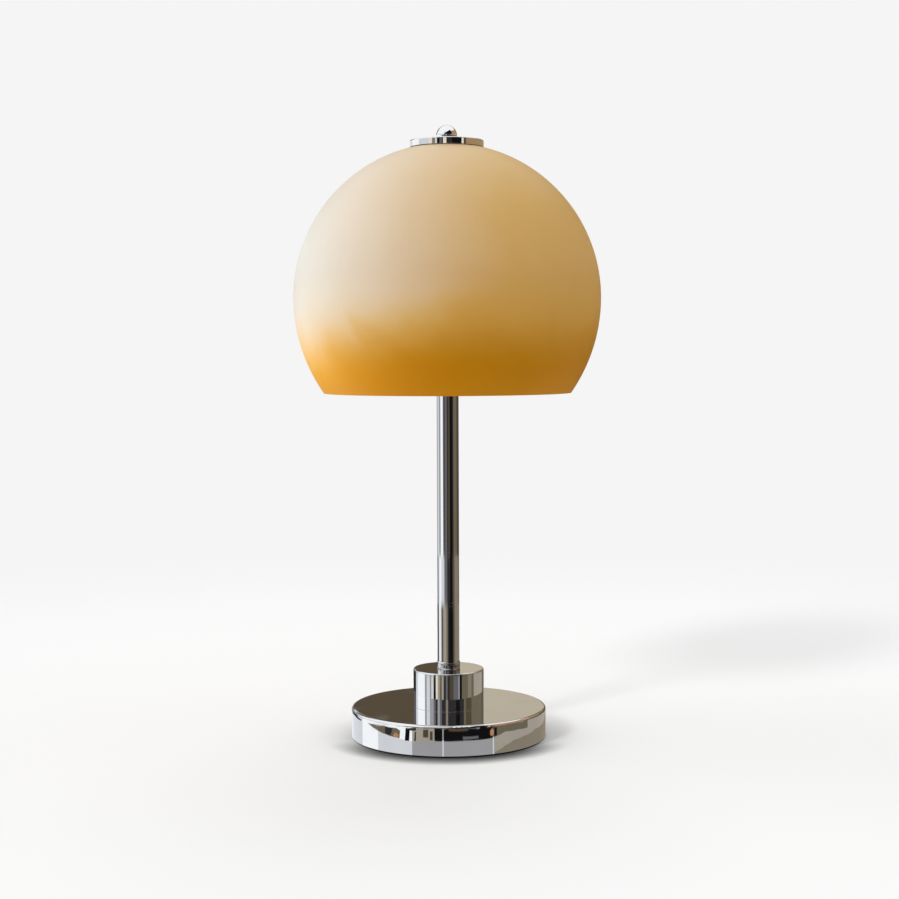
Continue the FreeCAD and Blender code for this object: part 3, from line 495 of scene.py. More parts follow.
class Effect:
    """Effects that several finishes share. Each is a node group that is built once."""

    @staticmethod
    def _group(name: str, inputs: dict[str, float], fill: Filling) -> bpy.types.NodeTree:
        """Makes a group once and then hands out the same one.

        Args:
            name: The group's name.
            inputs: Name and usual value of each input; a name that starts with Place is a vector.
            fill: Adds the nodes between the group's inputs and what it puts out.

        Returns:
            The group.
        """
        if name in bpy.data.node_groups:
            return bpy.data.node_groups[name]
        tree = bpy.data.node_groups.new(name, "ShaderNodeTree")
        for label, value in inputs.items():
            kind = "NodeSocketVector" if label.startswith("Place") else "NodeSocketFloat"
            socket = tree.interface.new_socket(label, in_out="INPUT", socket_type=kind)
            if kind == "NodeSocketFloat":
                socket.default_value = value
        graph = Graph(tree)
        results = fill(graph, graph.add("NodeGroupInput").outputs)
        for label in results:
            tree.interface.new_socket(label, in_out="OUTPUT", socket_type="NodeSocketFloat")
        graph.add("NodeGroupOutput", results)
        return tree

    @staticmethod
    def handling() -> bpy.types.NodeTree:
        """Faint wipe marks and finger smudges of a polished surface.

        Returns:
            The group, which puts out a mask.
        """
        def fill(graph: Graph, given: Sockets) -> Results:
            """Smudges in patches, with fine lines in them.

            Args:
                graph: The group's graph.
                given: The group's inputs.

            Returns:
                What the group puts out, by name.
            """
            cloud = graph.noise(given["Place"], given["Smudges per metre"], 5.0, 0.62, 0.8)
            lines = graph.noise(given["Place"], given["Fine"], 2.0, 0.5)
            patch = graph.rescale(cloud, 0.5, 0.72, 0.0, 1.0)
            fine = graph.rescale(lines, 0.3, 0.7, 0.5, 1.0)
            return {"Mask": graph.math("MULTIPLY", patch, fine)}

        inputs = {"Place": 0.0, "Smudges per metre": 30.0, "Fine": 900.0}
        return Effect._group("handling marks", inputs, fill)

    @staticmethod
    def dust() -> bpy.types.NodeTree:
        """Fine dust that has settled on whatever looks upwards.

        Returns:
            The group, which puts out a mask.
        """
        def fill(graph: Graph, given: Sockets) -> Results:
            """Specks in drifts, on faces that look upwards.

            Args:
                graph: The group's graph.
                given: The group's inputs.

            Returns:
                What the group puts out, by name.
            """
            facing = graph.add("ShaderNodeSeparateXYZ", {"Vector": given["Place upwards"]})
            flat = graph.rescale(facing.outputs["Z"], 0.35, 0.95, 0.0, 1.0)
            specks = graph.noise(given["Place"], 2600.0, 3.0, 0.7)
            drifts = graph.noise(given["Place"], 45.0, 4.0, 0.6)
            grains = graph.rescale(specks, 0.5, 0.68, 0.0, 1.0)
            spread = graph.rescale(drifts, 0.3, 0.7, 0.3, 1.0)
            mask = graph.math("MULTIPLY", graph.math("MULTIPLY", grains, spread), flat)
            return {"Mask": graph.math("MULTIPLY", mask, given["Amount"])}

        inputs = {"Place": 0.0, "Place upwards": 0.0, "Amount": 0.1}
        return Effect._group("settled dust", inputs, fill)

    @staticmethod
    def skin() -> bpy.types.NodeTree:
        """Height of a surface's grain: long waves and a fine grain, each in its own scale.

        Returns:
            The group, which puts out a height and a mask of where the colour drifts.
        """
        def fill(graph: Graph, given: Sockets) -> Results:
            """Waves and grain, mixed by the grain's share.

            Args:
                graph: The group's graph.
                given: The group's inputs.

            Returns:
                What the group puts out, by name.
            """
            waves = graph.noise(given["Place"], given["Waves per metre"], 2.0, 0.45)
            grain = graph.noise(given["Place"], given["Grain per metre"], 4.0, 0.6)
            fine = graph.math("MULTIPLY", grain, given["Grain share"])
            left = graph.math("SUBTRACT", 1.0, given["Grain share"])
            coarse = graph.math("MULTIPLY", waves, left)
            return {"Height": graph.math("ADD", fine, coarse), "Drift": waves}

        inputs = {"Place": 0.0, "Waves per metre": 25.0, "Grain per metre": 800.0,
                  "Grain share": 0.5}
        return Effect._group("skin", inputs, fill)


class Lay(Enum):
    """How the marks of a surface lie: the stretch of its pattern along X, Y and Z."""

    EVEN = (1.0, 1.0, 1.0)
    TURNED = (1.0, 1.0, 14.0)  # rings round the axis, from a lathe
    DRAWN = (9.0, 9.0, 0.6)  # lines along the axis, from a die
    SAWN = (0.6, 9.0, 9.0)  # lines across the lamp, from rolling


@dataclass(frozen=True)
class Finish:
    """One surface finish, with the detail that the real one shows.

    Attributes:
        name: The material's name.
        tone: Its usual colour, as a screen shows it.
        drift: The colour that it drifts to in patches.
        metallic: 1 for bare metal, otherwise 0.
        roughness: Roughness where it is clean.
        smudged: Roughness where it is smudged or worn.
        lay: How its marks lie.
        waves: Slow changes per metre.
        grain: Fine marks per metre.
        grain_share: How much of the height is fine marks.
        relief: Height of the surface's marks.
        dust: How much dust lies on it.
        coat: Weight of a clear glaze.
        gloss: How strongly it mirrors, where 0.5 is usual.
        glow: How far light spreads inside it, as the weight of its subsurface.
    """

    name: str
    tone: Tone
    drift: Tone
    metallic: float = 0.0
    roughness: float = 0.5
    smudged: float = 0.6
    lay: Lay = Lay.EVEN
    waves: float = 30.0
    grain: float = 900.0
    grain_share: float = 0.5
    relief: float = 0.00002
    dust: float = 0.15
    coat: float = 0.0
    gloss: float = 0.5
    glow: float = 0.0

    def colour(self, graph: Graph, drift: bpy.types.NodeSocket, place: bpy.types.NodeSocket
               ) -> bpy.types.NodeSocket:
        """The colour before dust, which drifts in patches."""
        patches = graph.rescale(drift, 0.35, 0.68, 0.0, 1.0)
        return graph.mix(patches, linear(self.tone), linear(self.drift))

    def material(self) -> bpy.types.Material:
        """Builds the material once and then hands out the same one.

        Returns:
            The material.
        """
        if self.name in bpy.data.materials:
            return bpy.data.materials[self.name]
        made = bpy.data.materials.new(self.name)
        graph = Graph.blank(made)
        place = graph.add("ShaderNodeTexCoord").outputs["Object"]
        laid = graph.add("ShaderNodeMapping", {"Vector": place, "Scale": self.lay.value})
        normal = graph.add("ShaderNodeNewGeometry").outputs["Normal"]
        skin = graph.add("ShaderNodeGroup", {
            "Place": laid.outputs["Vector"], "Waves per metre": self.waves,
            "Grain per metre": self.grain, "Grain share": self.grain_share,
        }, node_tree=Effect.skin()).outputs
        marks = graph.add("ShaderNodeGroup", {"Place": place}, node_tree=Effect.handling())
        dust = graph.add("ShaderNodeGroup", {
            "Place": place, "Place upwards": normal, "Amount": self.dust,
        }, node_tree=Effect.dust()).outputs["Mask"]
        clean = self.colour(graph, skin["Drift"], place)
        rough = graph.rescale(marks.outputs["Mask"], 0.0, 1.0, self.roughness, self.smudged)
        bump = graph.add("ShaderNodeBump", {
            "Height": skin["Height"], "Distance": self.relief, "Strength": 1.0,
        })
        shader = graph.add("ShaderNodeBsdfPrincipled", {
            "Base Color": graph.mix(dust, clean, linear(DUST_TONE)),
            "Roughness": graph.math("ADD", rough, graph.math("MULTIPLY", dust, 0.5), clamp=True),
            "Metallic": self.metallic, "Specular IOR Level": self.gloss,
            "Normal": bump.outputs["Normal"],
        })
        if self.coat:
            shader.inputs["Coat Weight"].default_value = self.coat
            shader.inputs["Coat Roughness"].default_value = GLAZE_ROUGHNESS
        if self.glow:
            shader.inputs["Subsurface Weight"].default_value = self.glow
            shader.inputs["Subsurface Scale"].default_value = GLOW_REACH
        graph.add("ShaderNodeOutputMaterial", {"Surface": shader.outputs["BSDF"]})
        return made


@dataclass(frozen=True)
class TintedGlass(Finish):
    """Satin glass that runs from cream at the crown to amber at the rim, with painted window light
    that pales its -X side.

    Attributes:
        rim: Height where the tint starts.
        crown: Height where it ends.
        half_width: Widest radius of the glass.
        lit_side_fades: How soon red, green and blue fade from the painted lit side, near the rim.
    """

    rim: float = 0.0
    crown: float = 1.0
    half_width: float = 1.0
    lit_side_fades: Colour = (2.7, 3.3, 4.6)

    def colour(self, graph: Graph, drift: bpy.types.NodeSocket, place: bpy.types.NodeSocket
               ) -> bpy.types.NodeSocket:
        """The tint, with painted window light that makes it paler towards -X, and clouds where the
        amber thins out.

        Args:
            graph: The material's graph.
            drift: Mask of the slow clouds; not used.
            place: Place on the piece.

        Returns:
            The colour's output.
        """
        where = graph.add("ShaderNodeSeparateXYZ", {"Vector": place})
        wisps = graph.noise(place, 17.0, 3.0, 0.55, 0.4)
        cloud = graph.math("MULTIPLY", graph.math("SUBTRACT", wisps, 0.5), 0.10)
        up = graph.add("ShaderNodeMapRange", {
            "Value": where.outputs["Z"], "From Min": self.rim, "From Max": self.crown,
        }).outputs["Result"]
        level = graph.math("ADD", up, cloud, clamp=True)
        deep = graph.ramp(level, [
            (0.00, (182, 120, 12)), (0.14, (176, 117, 4)), (0.29, (191, 142, 62)),
            (0.50, (198, 156, 90)), (0.75, (208, 168, 101)), (1.00, (214, 180, 124)),
        ])
        # painted light: the pale ramp is window light painted onto the -X side over the glass's
        # own tint
        pale = graph.ramp(level, [
            (0.00, (255, 184, 76)), (0.09, (255, 192, 80)), (0.19, (250, 207, 142)),
            (0.30, (237, 222, 200)), (0.45, (225, 220, 209)), (0.75, (227, 224, 217)),
            (1.00, (224, 224, 220)),
        ])
        # share of painted window light, most towards -X
        side = graph.add("ShaderNodeMapRange", {
            "Value": where.outputs["X"], "From Min": self.half_width * 0.40,
            "From Max": -self.half_width * 0.94,
        }).outputs["Result"]
        side = graph.math("ADD", side, graph.math("MULTIPLY", cloud, 0.8), clamp=True)
        lit_side_shares = graph.add("ShaderNodeCombineXYZ", {
            axis: graph.math("POWER", side, graph.rescale(level, 0.14, 0.42, fade, 1.35))
            for axis, fade in zip("XYZ", self.lit_side_fades)
        }).outputs[0]
        return graph.add("ShaderNodeMix", {1: lit_side_shares, 4: deep, 5: pale}, data_type="VECTOR",
                         factor_mode="NON_UNIFORM").outputs[1]


@dataclass(frozen=True)
class BandedSheath(Finish):
    """Wire insulation with a stripe of a second colour.

    Attributes:
        band: The stripe's colour.
        band_width: Width of one stripe and one gap together.
    """

    band: Tone = (200, 180, 20)
    band_width: float = 0.002

    def colour(self, graph: Graph, drift: bpy.types.NodeSocket, place: bpy.types.NodeSocket
               ) -> bpy.types.NodeSocket:
        """The two colours of the sheath.

        Args:
            graph: The material's graph.
            drift: Mask of the slow changes; not used.
            place: Place on the piece.

        Returns:
            The colour's output.
        """
        across = graph.add("ShaderNodeSeparateXYZ", {"Vector": place}).outputs["X"]
        wave = graph.math("SINE", graph.math("MULTIPLY", across, FULL_TURN / self.band_width))
        share = graph.rescale(wave, -0.1, 0.1, 0.0, 1.0)
        return graph.mix(share, linear(self.tone), linear(self.band))


CHROME = Finish(
    "bright chrome", (206, 207, 208), (203, 204, 206), metallic=1.0, roughness=0.035,
    smudged=0.10, waves=55, grain=1500, grain_share=0.01, relief=0.000012, dust=0.05,
)
TUBE_CHROME = Finish(
    "drawn tube chrome", (206, 207, 208), (202, 203, 205), metallic=1.0, roughness=0.04,
    smudged=0.09, lay=Lay.DRAWN, waves=6, grain=60, grain_share=0.05, relief=0.000004,
    dust=0.03,
)
KNURL_CHROME = Finish(
    "knurled chrome", (200, 200, 202), (176, 176, 178), metallic=1.0, roughness=0.06,
    smudged=0.15, waves=200, grain=2500, relief=0.00001,
)
ZINC = Finish(
    "zinc plate", (176, 178, 182), (150, 156, 170), metallic=1.0, roughness=0.32, smudged=0.5,
    lay=Lay.SAWN, waves=40, grain=1600, grain_share=0.6, relief=0.000015,
)
TURNED_ZINC = Finish(
    "turned zinc plate", (178, 180, 182), (158, 160, 168), metallic=1.0, roughness=0.28,
    smudged=0.45, lay=Lay.TURNED, waves=60, grain=1300, grain_share=0.7, relief=0.00002,
)
CAST_IRON = Finish(
    "cast iron", (62, 60, 58), (82, 66, 54), metallic=0.6, roughness=0.62, smudged=0.8,
    waves=60, grain=700, grain_share=0.6, relief=0.00025,
)
FELT = Finish(
    "foot felt", (44, 44, 46), (60, 60, 61), roughness=0.95, smudged=1.0, waves=120,
    grain=3200, grain_share=0.8, relief=0.0002, dust=0.0,
)
SEAT_RUBBER = Finish(
    "seat rubber", (214, 212, 204), (198, 194, 182), roughness=0.45, smudged=0.6, waves=90,
    grain=1500, relief=0.00003,
)
BUSH = Finish(
    "bush nylon", (38, 38, 40), (50, 50, 51), roughness=0.42, smudged=0.55, waves=150,
    grain=2600, grain_share=0.8, relief=0.00003,
)
BLOCK = Finish(
    "terminal block nylon", (226, 222, 208), (214, 208, 190), roughness=0.38, smudged=0.5,
    waves=120, grain=2400, grain_share=0.7, relief=0.00002, glow=0.1,
)
BRASS = Finish(
    "brass", (214, 176, 104), (178, 130, 74), metallic=1.0, roughness=0.22, smudged=0.42,
    lay=Lay.TURNED, waves=70, grain=1500, relief=0.00001,
)
PORCELAIN = Finish(
    "glazed porcelain", (232, 230, 224), (224, 219, 208), roughness=0.3, smudged=0.4,
    waves=110, grain=500, grain_share=0.2, relief=0.00005, coat=0.8,
)
PHENOLIC = Finish(
    "moulded phenolic", (34, 31, 30), (46, 41, 38), roughness=0.24, smudged=0.4, waves=130,
    grain=1900, grain_share=0.35, relief=0.00003,
)
BULB_WHITE = Finish(
    "bulb plastic", (232, 232, 228), (224, 223, 217), roughness=0.33, smudged=0.46, waves=100,
    grain=2200, grain_share=0.6, relief=0.00001,
)
FROSTED = Finish(
    "frosted bulb", (240, 239, 234), (233, 232, 226), roughness=0.46, smudged=0.55, waves=50,
    grain=2600, grain_share=0.8, relief=0.000012, glow=0.25,
)
BOARD = Finish(
    "light board", (236, 237, 232), (222, 226, 216), roughness=0.3, smudged=0.45, waves=300,
    grain=3000, relief=0.00001,
)
CHIPS = Finish(
    "light chip phosphor", (232, 196, 60), (224, 178, 44), roughness=0.35, smudged=0.5,
    waves=900, grain=5000, relief=0.00002,
)
BULB_CAP = Finish(
    "nickel plate", (208, 203, 192), (190, 184, 172), metallic=1.0, roughness=0.16,
    smudged=0.34, waves=80, grain=1600, grain_share=0.5, relief=0.00001,
)
INSULATOR = Finish(
    "black glass insulator", (22, 22, 26), (34, 32, 36), roughness=0.12, smudged=0.3,
    waves=160, grain=900, relief=0.00004, coat=0.4,
)
LEAD_BROWN = Finish(
    "brown sheath", (96, 56, 34), (82, 46, 28), roughness=0.36, smudged=0.5, waves=220,
    grain=2400, relief=0.00001,
)
LEAD_BLUE = Finish(
    "blue sheath", (38, 84, 148), (30, 70, 128), roughness=0.36, smudged=0.5, waves=220,
    grain=2400, relief=0.00001,
)
LEAD_EARTH = BandedSheath(
    "banded sheath", (46, 120, 58), (40, 108, 50), roughness=0.36, smudged=0.5, waves=220,
    grain=2400, relief=0.00001, band=(216, 196, 48), band_width=0.0026,
)
OPAL = Finish(
    "white inner glass", (240, 236, 226), (234, 228, 214), roughness=0.18, smudged=0.3,
    waves=24, grain=600, grain_share=0.1, relief=0.00006, dust=0.05,
)


# ------------------------------------------------------------------------------ sub-assemblies


@dataclass
class Assembly:
    """A group of pieces that are made and dressed together.

    Attributes:
        body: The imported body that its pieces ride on.
        finishes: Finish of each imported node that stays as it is.
        made: Names of the pieces that it made.
    """

    body: str = "lamp_stand"
    finishes: dict[str, Finish] = field(default_factory=dict)
    made: list[str] = field(default_factory=list)

    def keep(self, piece: bpy.types.Object, finish: Finish, slot: str, *nodes: str) -> None:
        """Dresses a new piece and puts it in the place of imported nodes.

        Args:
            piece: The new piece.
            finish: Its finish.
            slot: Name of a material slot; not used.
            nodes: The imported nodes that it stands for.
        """
        piece.data.materials.clear()
        piece.data.materials.append(finish.material())
        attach(piece, self.body)
        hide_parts(*nodes)
        self.made.append(piece.name)

    def dress(self) -> None:
        """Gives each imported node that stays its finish."""
        for node, finish in self.finishes.items():
            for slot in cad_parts[node].material_slots:
                slot.material = finish.material()

    def build(self) -> None:
        """Makes the new pieces. A group without new pieces has nothing to make."""

    def report(self) -> None:
        """Says what the group made and what it dressed."""
        LOG.info("%s: made %s", type(self).__name__, ", ".join(self.made) or "nothing new")
        LOG.info("%s: dressed %s", type(self).__name__, ", ".join(self.finishes))


@dataclass
class Base(Assembly):
    """The weighted round base, with its foot, wiring and the cover that hides them."""

    finishes: dict[str, Finish] = field(default_factory=lambda: {
        "foot_pad": FELT, "bottom_plate": ZINC, "plate_screws": ZINC, "base_weight": CAST_IRON,
        "base_shell": CHROME, "cord_inlet": BUSH, "terminal_block": BLOCK,
        "terminal_clamps": BRASS, "block_screws": ZINC, "earth_tag": BRASS, "base_washer": ZINC,
        "lock_washer": ZINC, "base_nut": ZINC, "lead_live": LEAD_BROWN,
        "lead_neutral": LEAD_BLUE, "earth_lead": LEAD_EARTH,
    })


@dataclass
class Stem(Assembly):
    """Collar, knurled ring, stem and the tube inside them."""

    collar_wall: float = 1.5 * MM
    collar_round: float = 1 * MM
    foot_round: float = 0.12 * MM
    tube_hole: float = 5.1 * MM
    knurl_count: int = 48
    knurl_rows: int = 4
    knurl_depth: float = 0.10 * MM
    knurl_chamfer: float = 0.6 * MM
    spigot_play: float = 0.05 * MM
    spigot_length: float = 4 * MM
    stem_wall: float = 1.2 * MM
    stem_ease: float = 0.25 * MM
    finishes: dict[str, Finish] = field(default_factory=lambda: {
        "tie_tube": TURNED_ZINC, "collar_sleeve": TURNED_ZINC, "check_ring": CHROME,
    })

    def collar(self) -> None:
        """The cup between base and stem, with a soft top edge."""
        low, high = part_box("collar")
        radius, ease = high.x, self.collar_round
        inner, roof = radius - self.collar_wall, high.z - self.collar_wall
        cup = Outline("collar_cup", self.tube_hole, high.z)
        cup.corner(radius, high.z, ease)
        cup.line(radius, low.z + self.foot_round + FLAT_STRIP)
        cup.line(radius, low.z + self.foot_round)
        cup.arc((radius - self.foot_round, low.z + self.foot_round), -90, 4)
        cup.line(inner, low.z).line(inner, roof).line(self.tube_hole, roof)
        cup.line(self.tube_hole, high.z)
        self.keep(cup.spin(ROUND_STEPS), CHROME, "chrome", "collar")

    def stem(self) -> None:
        """The stem, with eased ends."""
        low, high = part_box("stem_tube")
        radius, inner, ease = high.x, high.x - self.stem_wall, self.stem_ease
        tube = Outline("stem", inner, low.z)
        tube.line(radius - ease, low.z).line(radius, low.z + ease)
        tube.line(radius, high.z - ease).line(radius - ease, high.z)
        tube.line(inner, high.z).line(inner, low.z)
        self.keep(tube.spin(SLIM_STEPS), TUBE_CHROME, "chrome", "stem_tube")

    def ring(self) -> None:
        """The round nut at the stem's foot, with a diamond knurl."""
        low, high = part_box("lock_ring")
        radius, bottom = high.x, low.z
        top = high.z - self.spigot_length
        valley, chamfer = radius - self.knurl_depth, self.knurl_chamfer
        band = top - bottom - 2 * chamfer
        Bench.clear()
        bpy.ops.mesh.primitive_cylinder_add(
            vertices=self.knurl_count, radius=valley, depth=band, end_fill_type="NOTHING",
            location=(0, 0, bottom + chamfer + band / 2),
        )
        piece = bpy.context.active_object
        piece.name = piece.data.name = "knurled_ring"
        bpy.ops.object.transform_apply(location=True, rotation=True, scale=True)
        Bench.open(piece, "EDGE")
        Bench.pick_edges(piece, lambda a, b: abs(a.z - b.z) > MERGE_GAP)
        bpy.ops.mesh.subdivide(number_cuts=self.knurl_rows - 1)
        bpy.ops.mesh.select_mode(type="FACE")
        bpy.ops.mesh.select_all(action="SELECT")
        corners = self._places(piece)
        bpy.ops.mesh.poke()
        Bench.pick_edges(piece, lambda a, b: self._at(a) in corners and self._at(b) in corners)
        valleys = self._places(piece)
        bpy.ops.mesh.subdivide(number_cuts=1)
        Bench.pick_points(piece, lambda at: self._at(at) not in valleys
                          and bottom + chamfer + MERGE_GAP < at.z < top - chamfer - MERGE_GAP)
        grow = radius / valley
        bpy.ops.transform.resize(value=(grow, grow, 1), center_override=(0, 0, bottom))
        bpy.ops.mesh.select_all(action="SELECT")
        bpy.ops.mesh.quads_convert_to_tris(quad_method="SHORTEST_DIAGONAL")
        stem_inner = radius - self.knurl_chamfer - self.stem_wall - self.spigot_play
        self._loop(piece, top - chamfer, [(valley - chamfer / 2, top), (stem_inner, top),
                                          (stem_inner, high.z), (self.tube_hole, high.z)])
        self._loop(piece, bottom + chamfer, [(valley - chamfer / 2, bottom),
                                             (self.tube_hole, bottom), (self.tube_hole, high.z)])
        Bench.close_skin()
        Bench.settle(piece)
        self.keep(piece, KNURL_CHROME, "chrome", "lock_ring")

    @staticmethod
    def _at(place: Vector) -> tuple[int, int, int]:
        """A place as whole hundredths of a millimetre, so that places can be compared."""
        return tuple(round(part / MM * 100) for part in place)

    @staticmethod
    def _places(piece: bpy.types.Object) -> set[tuple[int, int, int]]:
        """Places of all points of the opened piece."""
        return {Stem._at(point.co) for point in bmesh.from_edit_mesh(piece.data).verts}

    @staticmethod
    def _loop(piece: bpy.types.Object, height: float, path: Sequence[Point]) -> None:
        """Draws an open edge of the piece through further rings.

        Args:
            piece: The piece that is open in edit mode.
            height: Height of the open edge.
            path: Radius and height of each further ring.
        """
        Bench.pick_edges(piece, lambda a, b: abs(a.z - height) < MERGE_GAP
                         and abs(b.z - height) < MERGE_GAP)
        mesh = bmesh.from_edit_mesh(piece.data)
        now = max(point.co.xy.length for point in mesh.verts if point.select)
        for radius, level in path:
            shift = (0, 0, level - height)
            bpy.ops.mesh.extrude_edges_move(TRANSFORM_OT_translate={"value": shift})
            shrink = radius / now
            bpy.ops.transform.resize(value=(shrink, shrink, 1), center_override=(0, 0, level))
            now, height = radius, level

    def build(self) -> None:
        """Makes the collar, the stem and the ring."""
        self.collar()
        self.stem()
        self.ring()


@dataclass
class Carrier(Assembly):
    """The frame round the bulb that carries the shade, with the stud on top."""

    rod_pitch: float = 0.8 * MM
    rod_depth: float = 0.45 * MM
    stud_pitch: float = 1 * MM
    stud_depth: float = 0.55 * MM
    finishes: dict[str, Finish] = field(default_factory=lambda: {
        "carrier_lower_bar": ZINC, "carrier_upper_bar": ZINC, "carrier_nuts": ZINC,
        "stud_nut": ZINC, "seat_spacer": TURNED_ZINC, "seat_disc": TURNED_ZINC,
        "seat_gasket": SEAT_RUBBER,
    })

    def stud(self) -> None:
        """The stud that sticks out of the crown, threaded all the way."""
        low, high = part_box("finial_stud")
        piece = Thread("threaded_stud", high.x - self.stud_depth, high.x, self.stud_pitch,
                       low.z, high.z, steps=24).cut()
        self.keep(piece, ZINC, "steel", "finial_stud")

    def rods(self) -> None:
        """The two rods beside the bulb: one is made and then copied."""
        low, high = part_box("carrier_rod_left")
        middle, radius = (low.x + high.x) / 2, (high.x - low.x) / 2
        rod = Thread("rod_pattern", radius - self.rod_depth, radius, self.rod_pitch, low.z,
                     high.z, steps=20).cut()
        left = Bench.copy(rod, "threaded_rod_left", Vector((middle, 0, 0)))
        right = Bench.copy(rod, "threaded_rod_right", Vector((-middle, 0, 0)))
        self.keep(left, ZINC, "steel", "carrier_rod_left")
        self.keep(right, ZINC, "steel", "carrier_rod_right")
        Bench.take(rod)
        bpy.ops.object.delete()

    def build(self) -> None:
        """Makes the stud and the rods."""
        self.stud()
        self.rods()


@dataclass
class Lampholder(Assembly):
    """The screw lampholder under the bulb."""

    finishes: dict[str, Finish] = field(default_factory=lambda: {
        "holder_cap": PHENOLIC, "holder_body": PHENOLIC, "holder_insert": PORCELAIN,
        "holder_screw_shell": BRASS, "holder_contact": BRASS, "holder_screws": ZINC,
    })


@dataclass
class Bulb(Assembly):
    """The bulb, with its rolled screw cap."""

    body: str = "bulb"
    pitch: float = 3.6 * MM
    thread_depth: float = 0.9 * MM
    finishes: dict[str, Finish] = field(default_factory=lambda: {
        "bulb_contact": ZINC, "bulb_insulator": INSULATOR, "bulb_housing": BULB_WHITE,
        "led_board": BOARD, "led_chips": CHIPS, "bulb_globe": FROSTED,
    })

    def build(self) -> None:
        """Makes the rolled screw cap."""
        low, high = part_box("bulb_screw_cap")
        piece = Thread("rolled_screw_cap", high.x - self.thread_depth, high.x, self.pitch,
                       low.z, high.z, rolled=True, steps=72).cut()
        self.keep(piece, BULB_CAP, "bulb_cap", "bulb_screw_cap")


@dataclass
class Shade(Assembly):
    """The blown glass dome: a ball shape above its widest circle, a flatter arc below it."""

    body: str = "shade"
    middle: float = 0.360
    lower_arc: float = 0.135
    wall: float = 3 * MM
    crown_hole: float = 15 * MM
    rim_round: float = 0.9 * MM
    steps: int = 224
    glaze_depth: float = 0.75  # share of the wall past which a face is on the inside
    finishes: dict[str, Finish] = field(default_factory=lambda: {"cap_gasket": SEAT_RUBBER})

    def build(self) -> None:
        """Turns the dome and gives its inside a white glaze."""
        low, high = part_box("shade_glass")
        radius, rim = high.x, low.z
        shift, drop = self.lower_arc - radius, self.middle - rim
        inner_arc, inner = self.lower_arc - self.wall, radius - self.wall
        swing = math.degrees(math.asin(drop / self.lower_arc))
        inner_swing = math.degrees(math.asin(drop / inner_arc))
        lift = math.degrees(math.acos(self.crown_hole / radius))
        inner_lift = math.degrees(math.acos(self.crown_hole / inner))
        centre, low_centre = (0.0, self.middle), (-shift, self.middle)
        edge = self.lower_arc * math.cos(math.radians(swing)) - shift
        dome = Outline("glass_dome", edge, rim)
        dome.arc(low_centre, swing, 22).arc(centre, lift, 44)
        dome.line(self.crown_hole, self.middle + inner * math.sin(math.radians(inner_lift)))
        dome.arc(centre, -inner_lift, 40).arc(low_centre, -inner_swing, 20)
        dome.line(edge, rim)
        piece = dome.spin(self.steps)
        Bench.ease_edges(piece, self.rim_round, 4)
        Bench.settle(piece)
        glass = TintedGlass(
            "tinted satin glass", (220, 190, 140), (200, 150, 90), roughness=0.42, smudged=0.5,
            waves=9, grain=1400, grain_share=0.04, relief=0.0002, dust=0.03,
            gloss=0.07, rim=rim, crown=high.z, half_width=radius,
        )
        self.keep(piece, glass, "shade", "shade_glass")
        piece.data.materials.append(OPAL.material())
        for face in piece.data.polygons:
            out = Vector((face.center.x, face.center.y, 0)).length
            reach = math.hypot(out, face.center.z - self.middle)
            if face.center.z < self.middle:
                reach = math.hypot(out + shift, face.center.z - self.middle) - shift
            face.material_index = int(reach < radius - self.wall * self.glaze_depth)


@dataclass
class Cap(Assembly):
    """The chromed cup on the crown."""

    body: str = "cap"
    wall: float = 1 * MM
    edge_round: float = 0.8 * MM
    lip_ease: float = 0.2 * MM
    hole: float = 3.3 * MM

    def build(self) -> None:
        """Turns the cup."""
        low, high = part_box("top_cap")
        radius, ease, inner = high.x, self.edge_round, high.x - self.wall
        cup = Outline("crown_cap", self.hole, high.z)
        cup.corner(radius, high.z, ease)
        cup.line(radius, low.z + self.lip_ease).line(radius - self.lip_ease, low.z)
        cup.line(inner, low.z).line(inner, high.z - self.wall)
        cup.line(self.hole, high.z - self.wall).line(self.hole, high.z)
        self.keep(cup.spin(ROUND_STEPS), CHROME, "chrome", "top_cap")


@dataclass
class Finial(Assembly):
    """The ball nut, with a flat seat and a blind bore."""

    body: str = "finial"
    radius: float = 8.5 * MM
    bore: float = 3.05 * MM
    bore_depth: float = 9 * MM
    bore_ease: float = 0.5 * MM

    def build(self) -> None:
        """Turns the ball."""
        low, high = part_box("ball_finial")
        middle = high.z - self.radius
        drop = math.degrees(math.asin((middle - low.z) / self.radius))
        seat = self.radius * math.cos(math.radians(drop))
        ball = Outline("ball_nut", seat, low.z)
        ball.arc((0.0, middle), drop + 90, 36)
        ball.line(0.0, low.z + self.bore_depth).line(self.bore, low.z + self.bore_depth)
        ball.line(self.bore, low.z + self.bore_ease).line(self.bore + self.bore_ease, low.z)
        ball.line(seat, low.z)
        self.keep(ball.spin(SLIM_STEPS), CHROME, "chrome", "ball_finial")


# ------------------------------------------------------------------------------ studio


class Tint(Enum):
    """How a card looks in the chrome, as a screen shows it."""

    BLACK = (18, 17, 18)
    INK = (46, 44, 45)
    UMBER = (78, 68, 54)
    OLIVE = (104, 96, 80)
    TAUPE = (130, 121, 105)
    SAND = (158, 150, 138)
    BEIGE = (170, 161, 144)
    SLATE = (98, 98, 102)
    GREY = (152, 151, 152)
    SILVER = (206, 208, 212)
    CREAM = (230, 218, 200)
    WHITE = (243, 245, 246)
    TAN = (176, 130, 92)
    OCHRE = (154, 130, 92)


@dataclass(frozen=True)
class Screen:
    """A row of cards side by side that only the metal and the glass see.

    Attributes:
        name: What mirrors it.
        low: Height of its lower edge.
        high: Height of its upper edge.
        start: Azimuth of the first card's left edge.
        cards: Azimuth of each card's right edge, past 180 behind the lamp, and its tint.
        gain: How many times brighter its tints are than written.
    """

    name: str
    low: float
    high: float
    start: float
    cards: tuple[tuple[float, Tint], ...]
    gain: float = 1.0


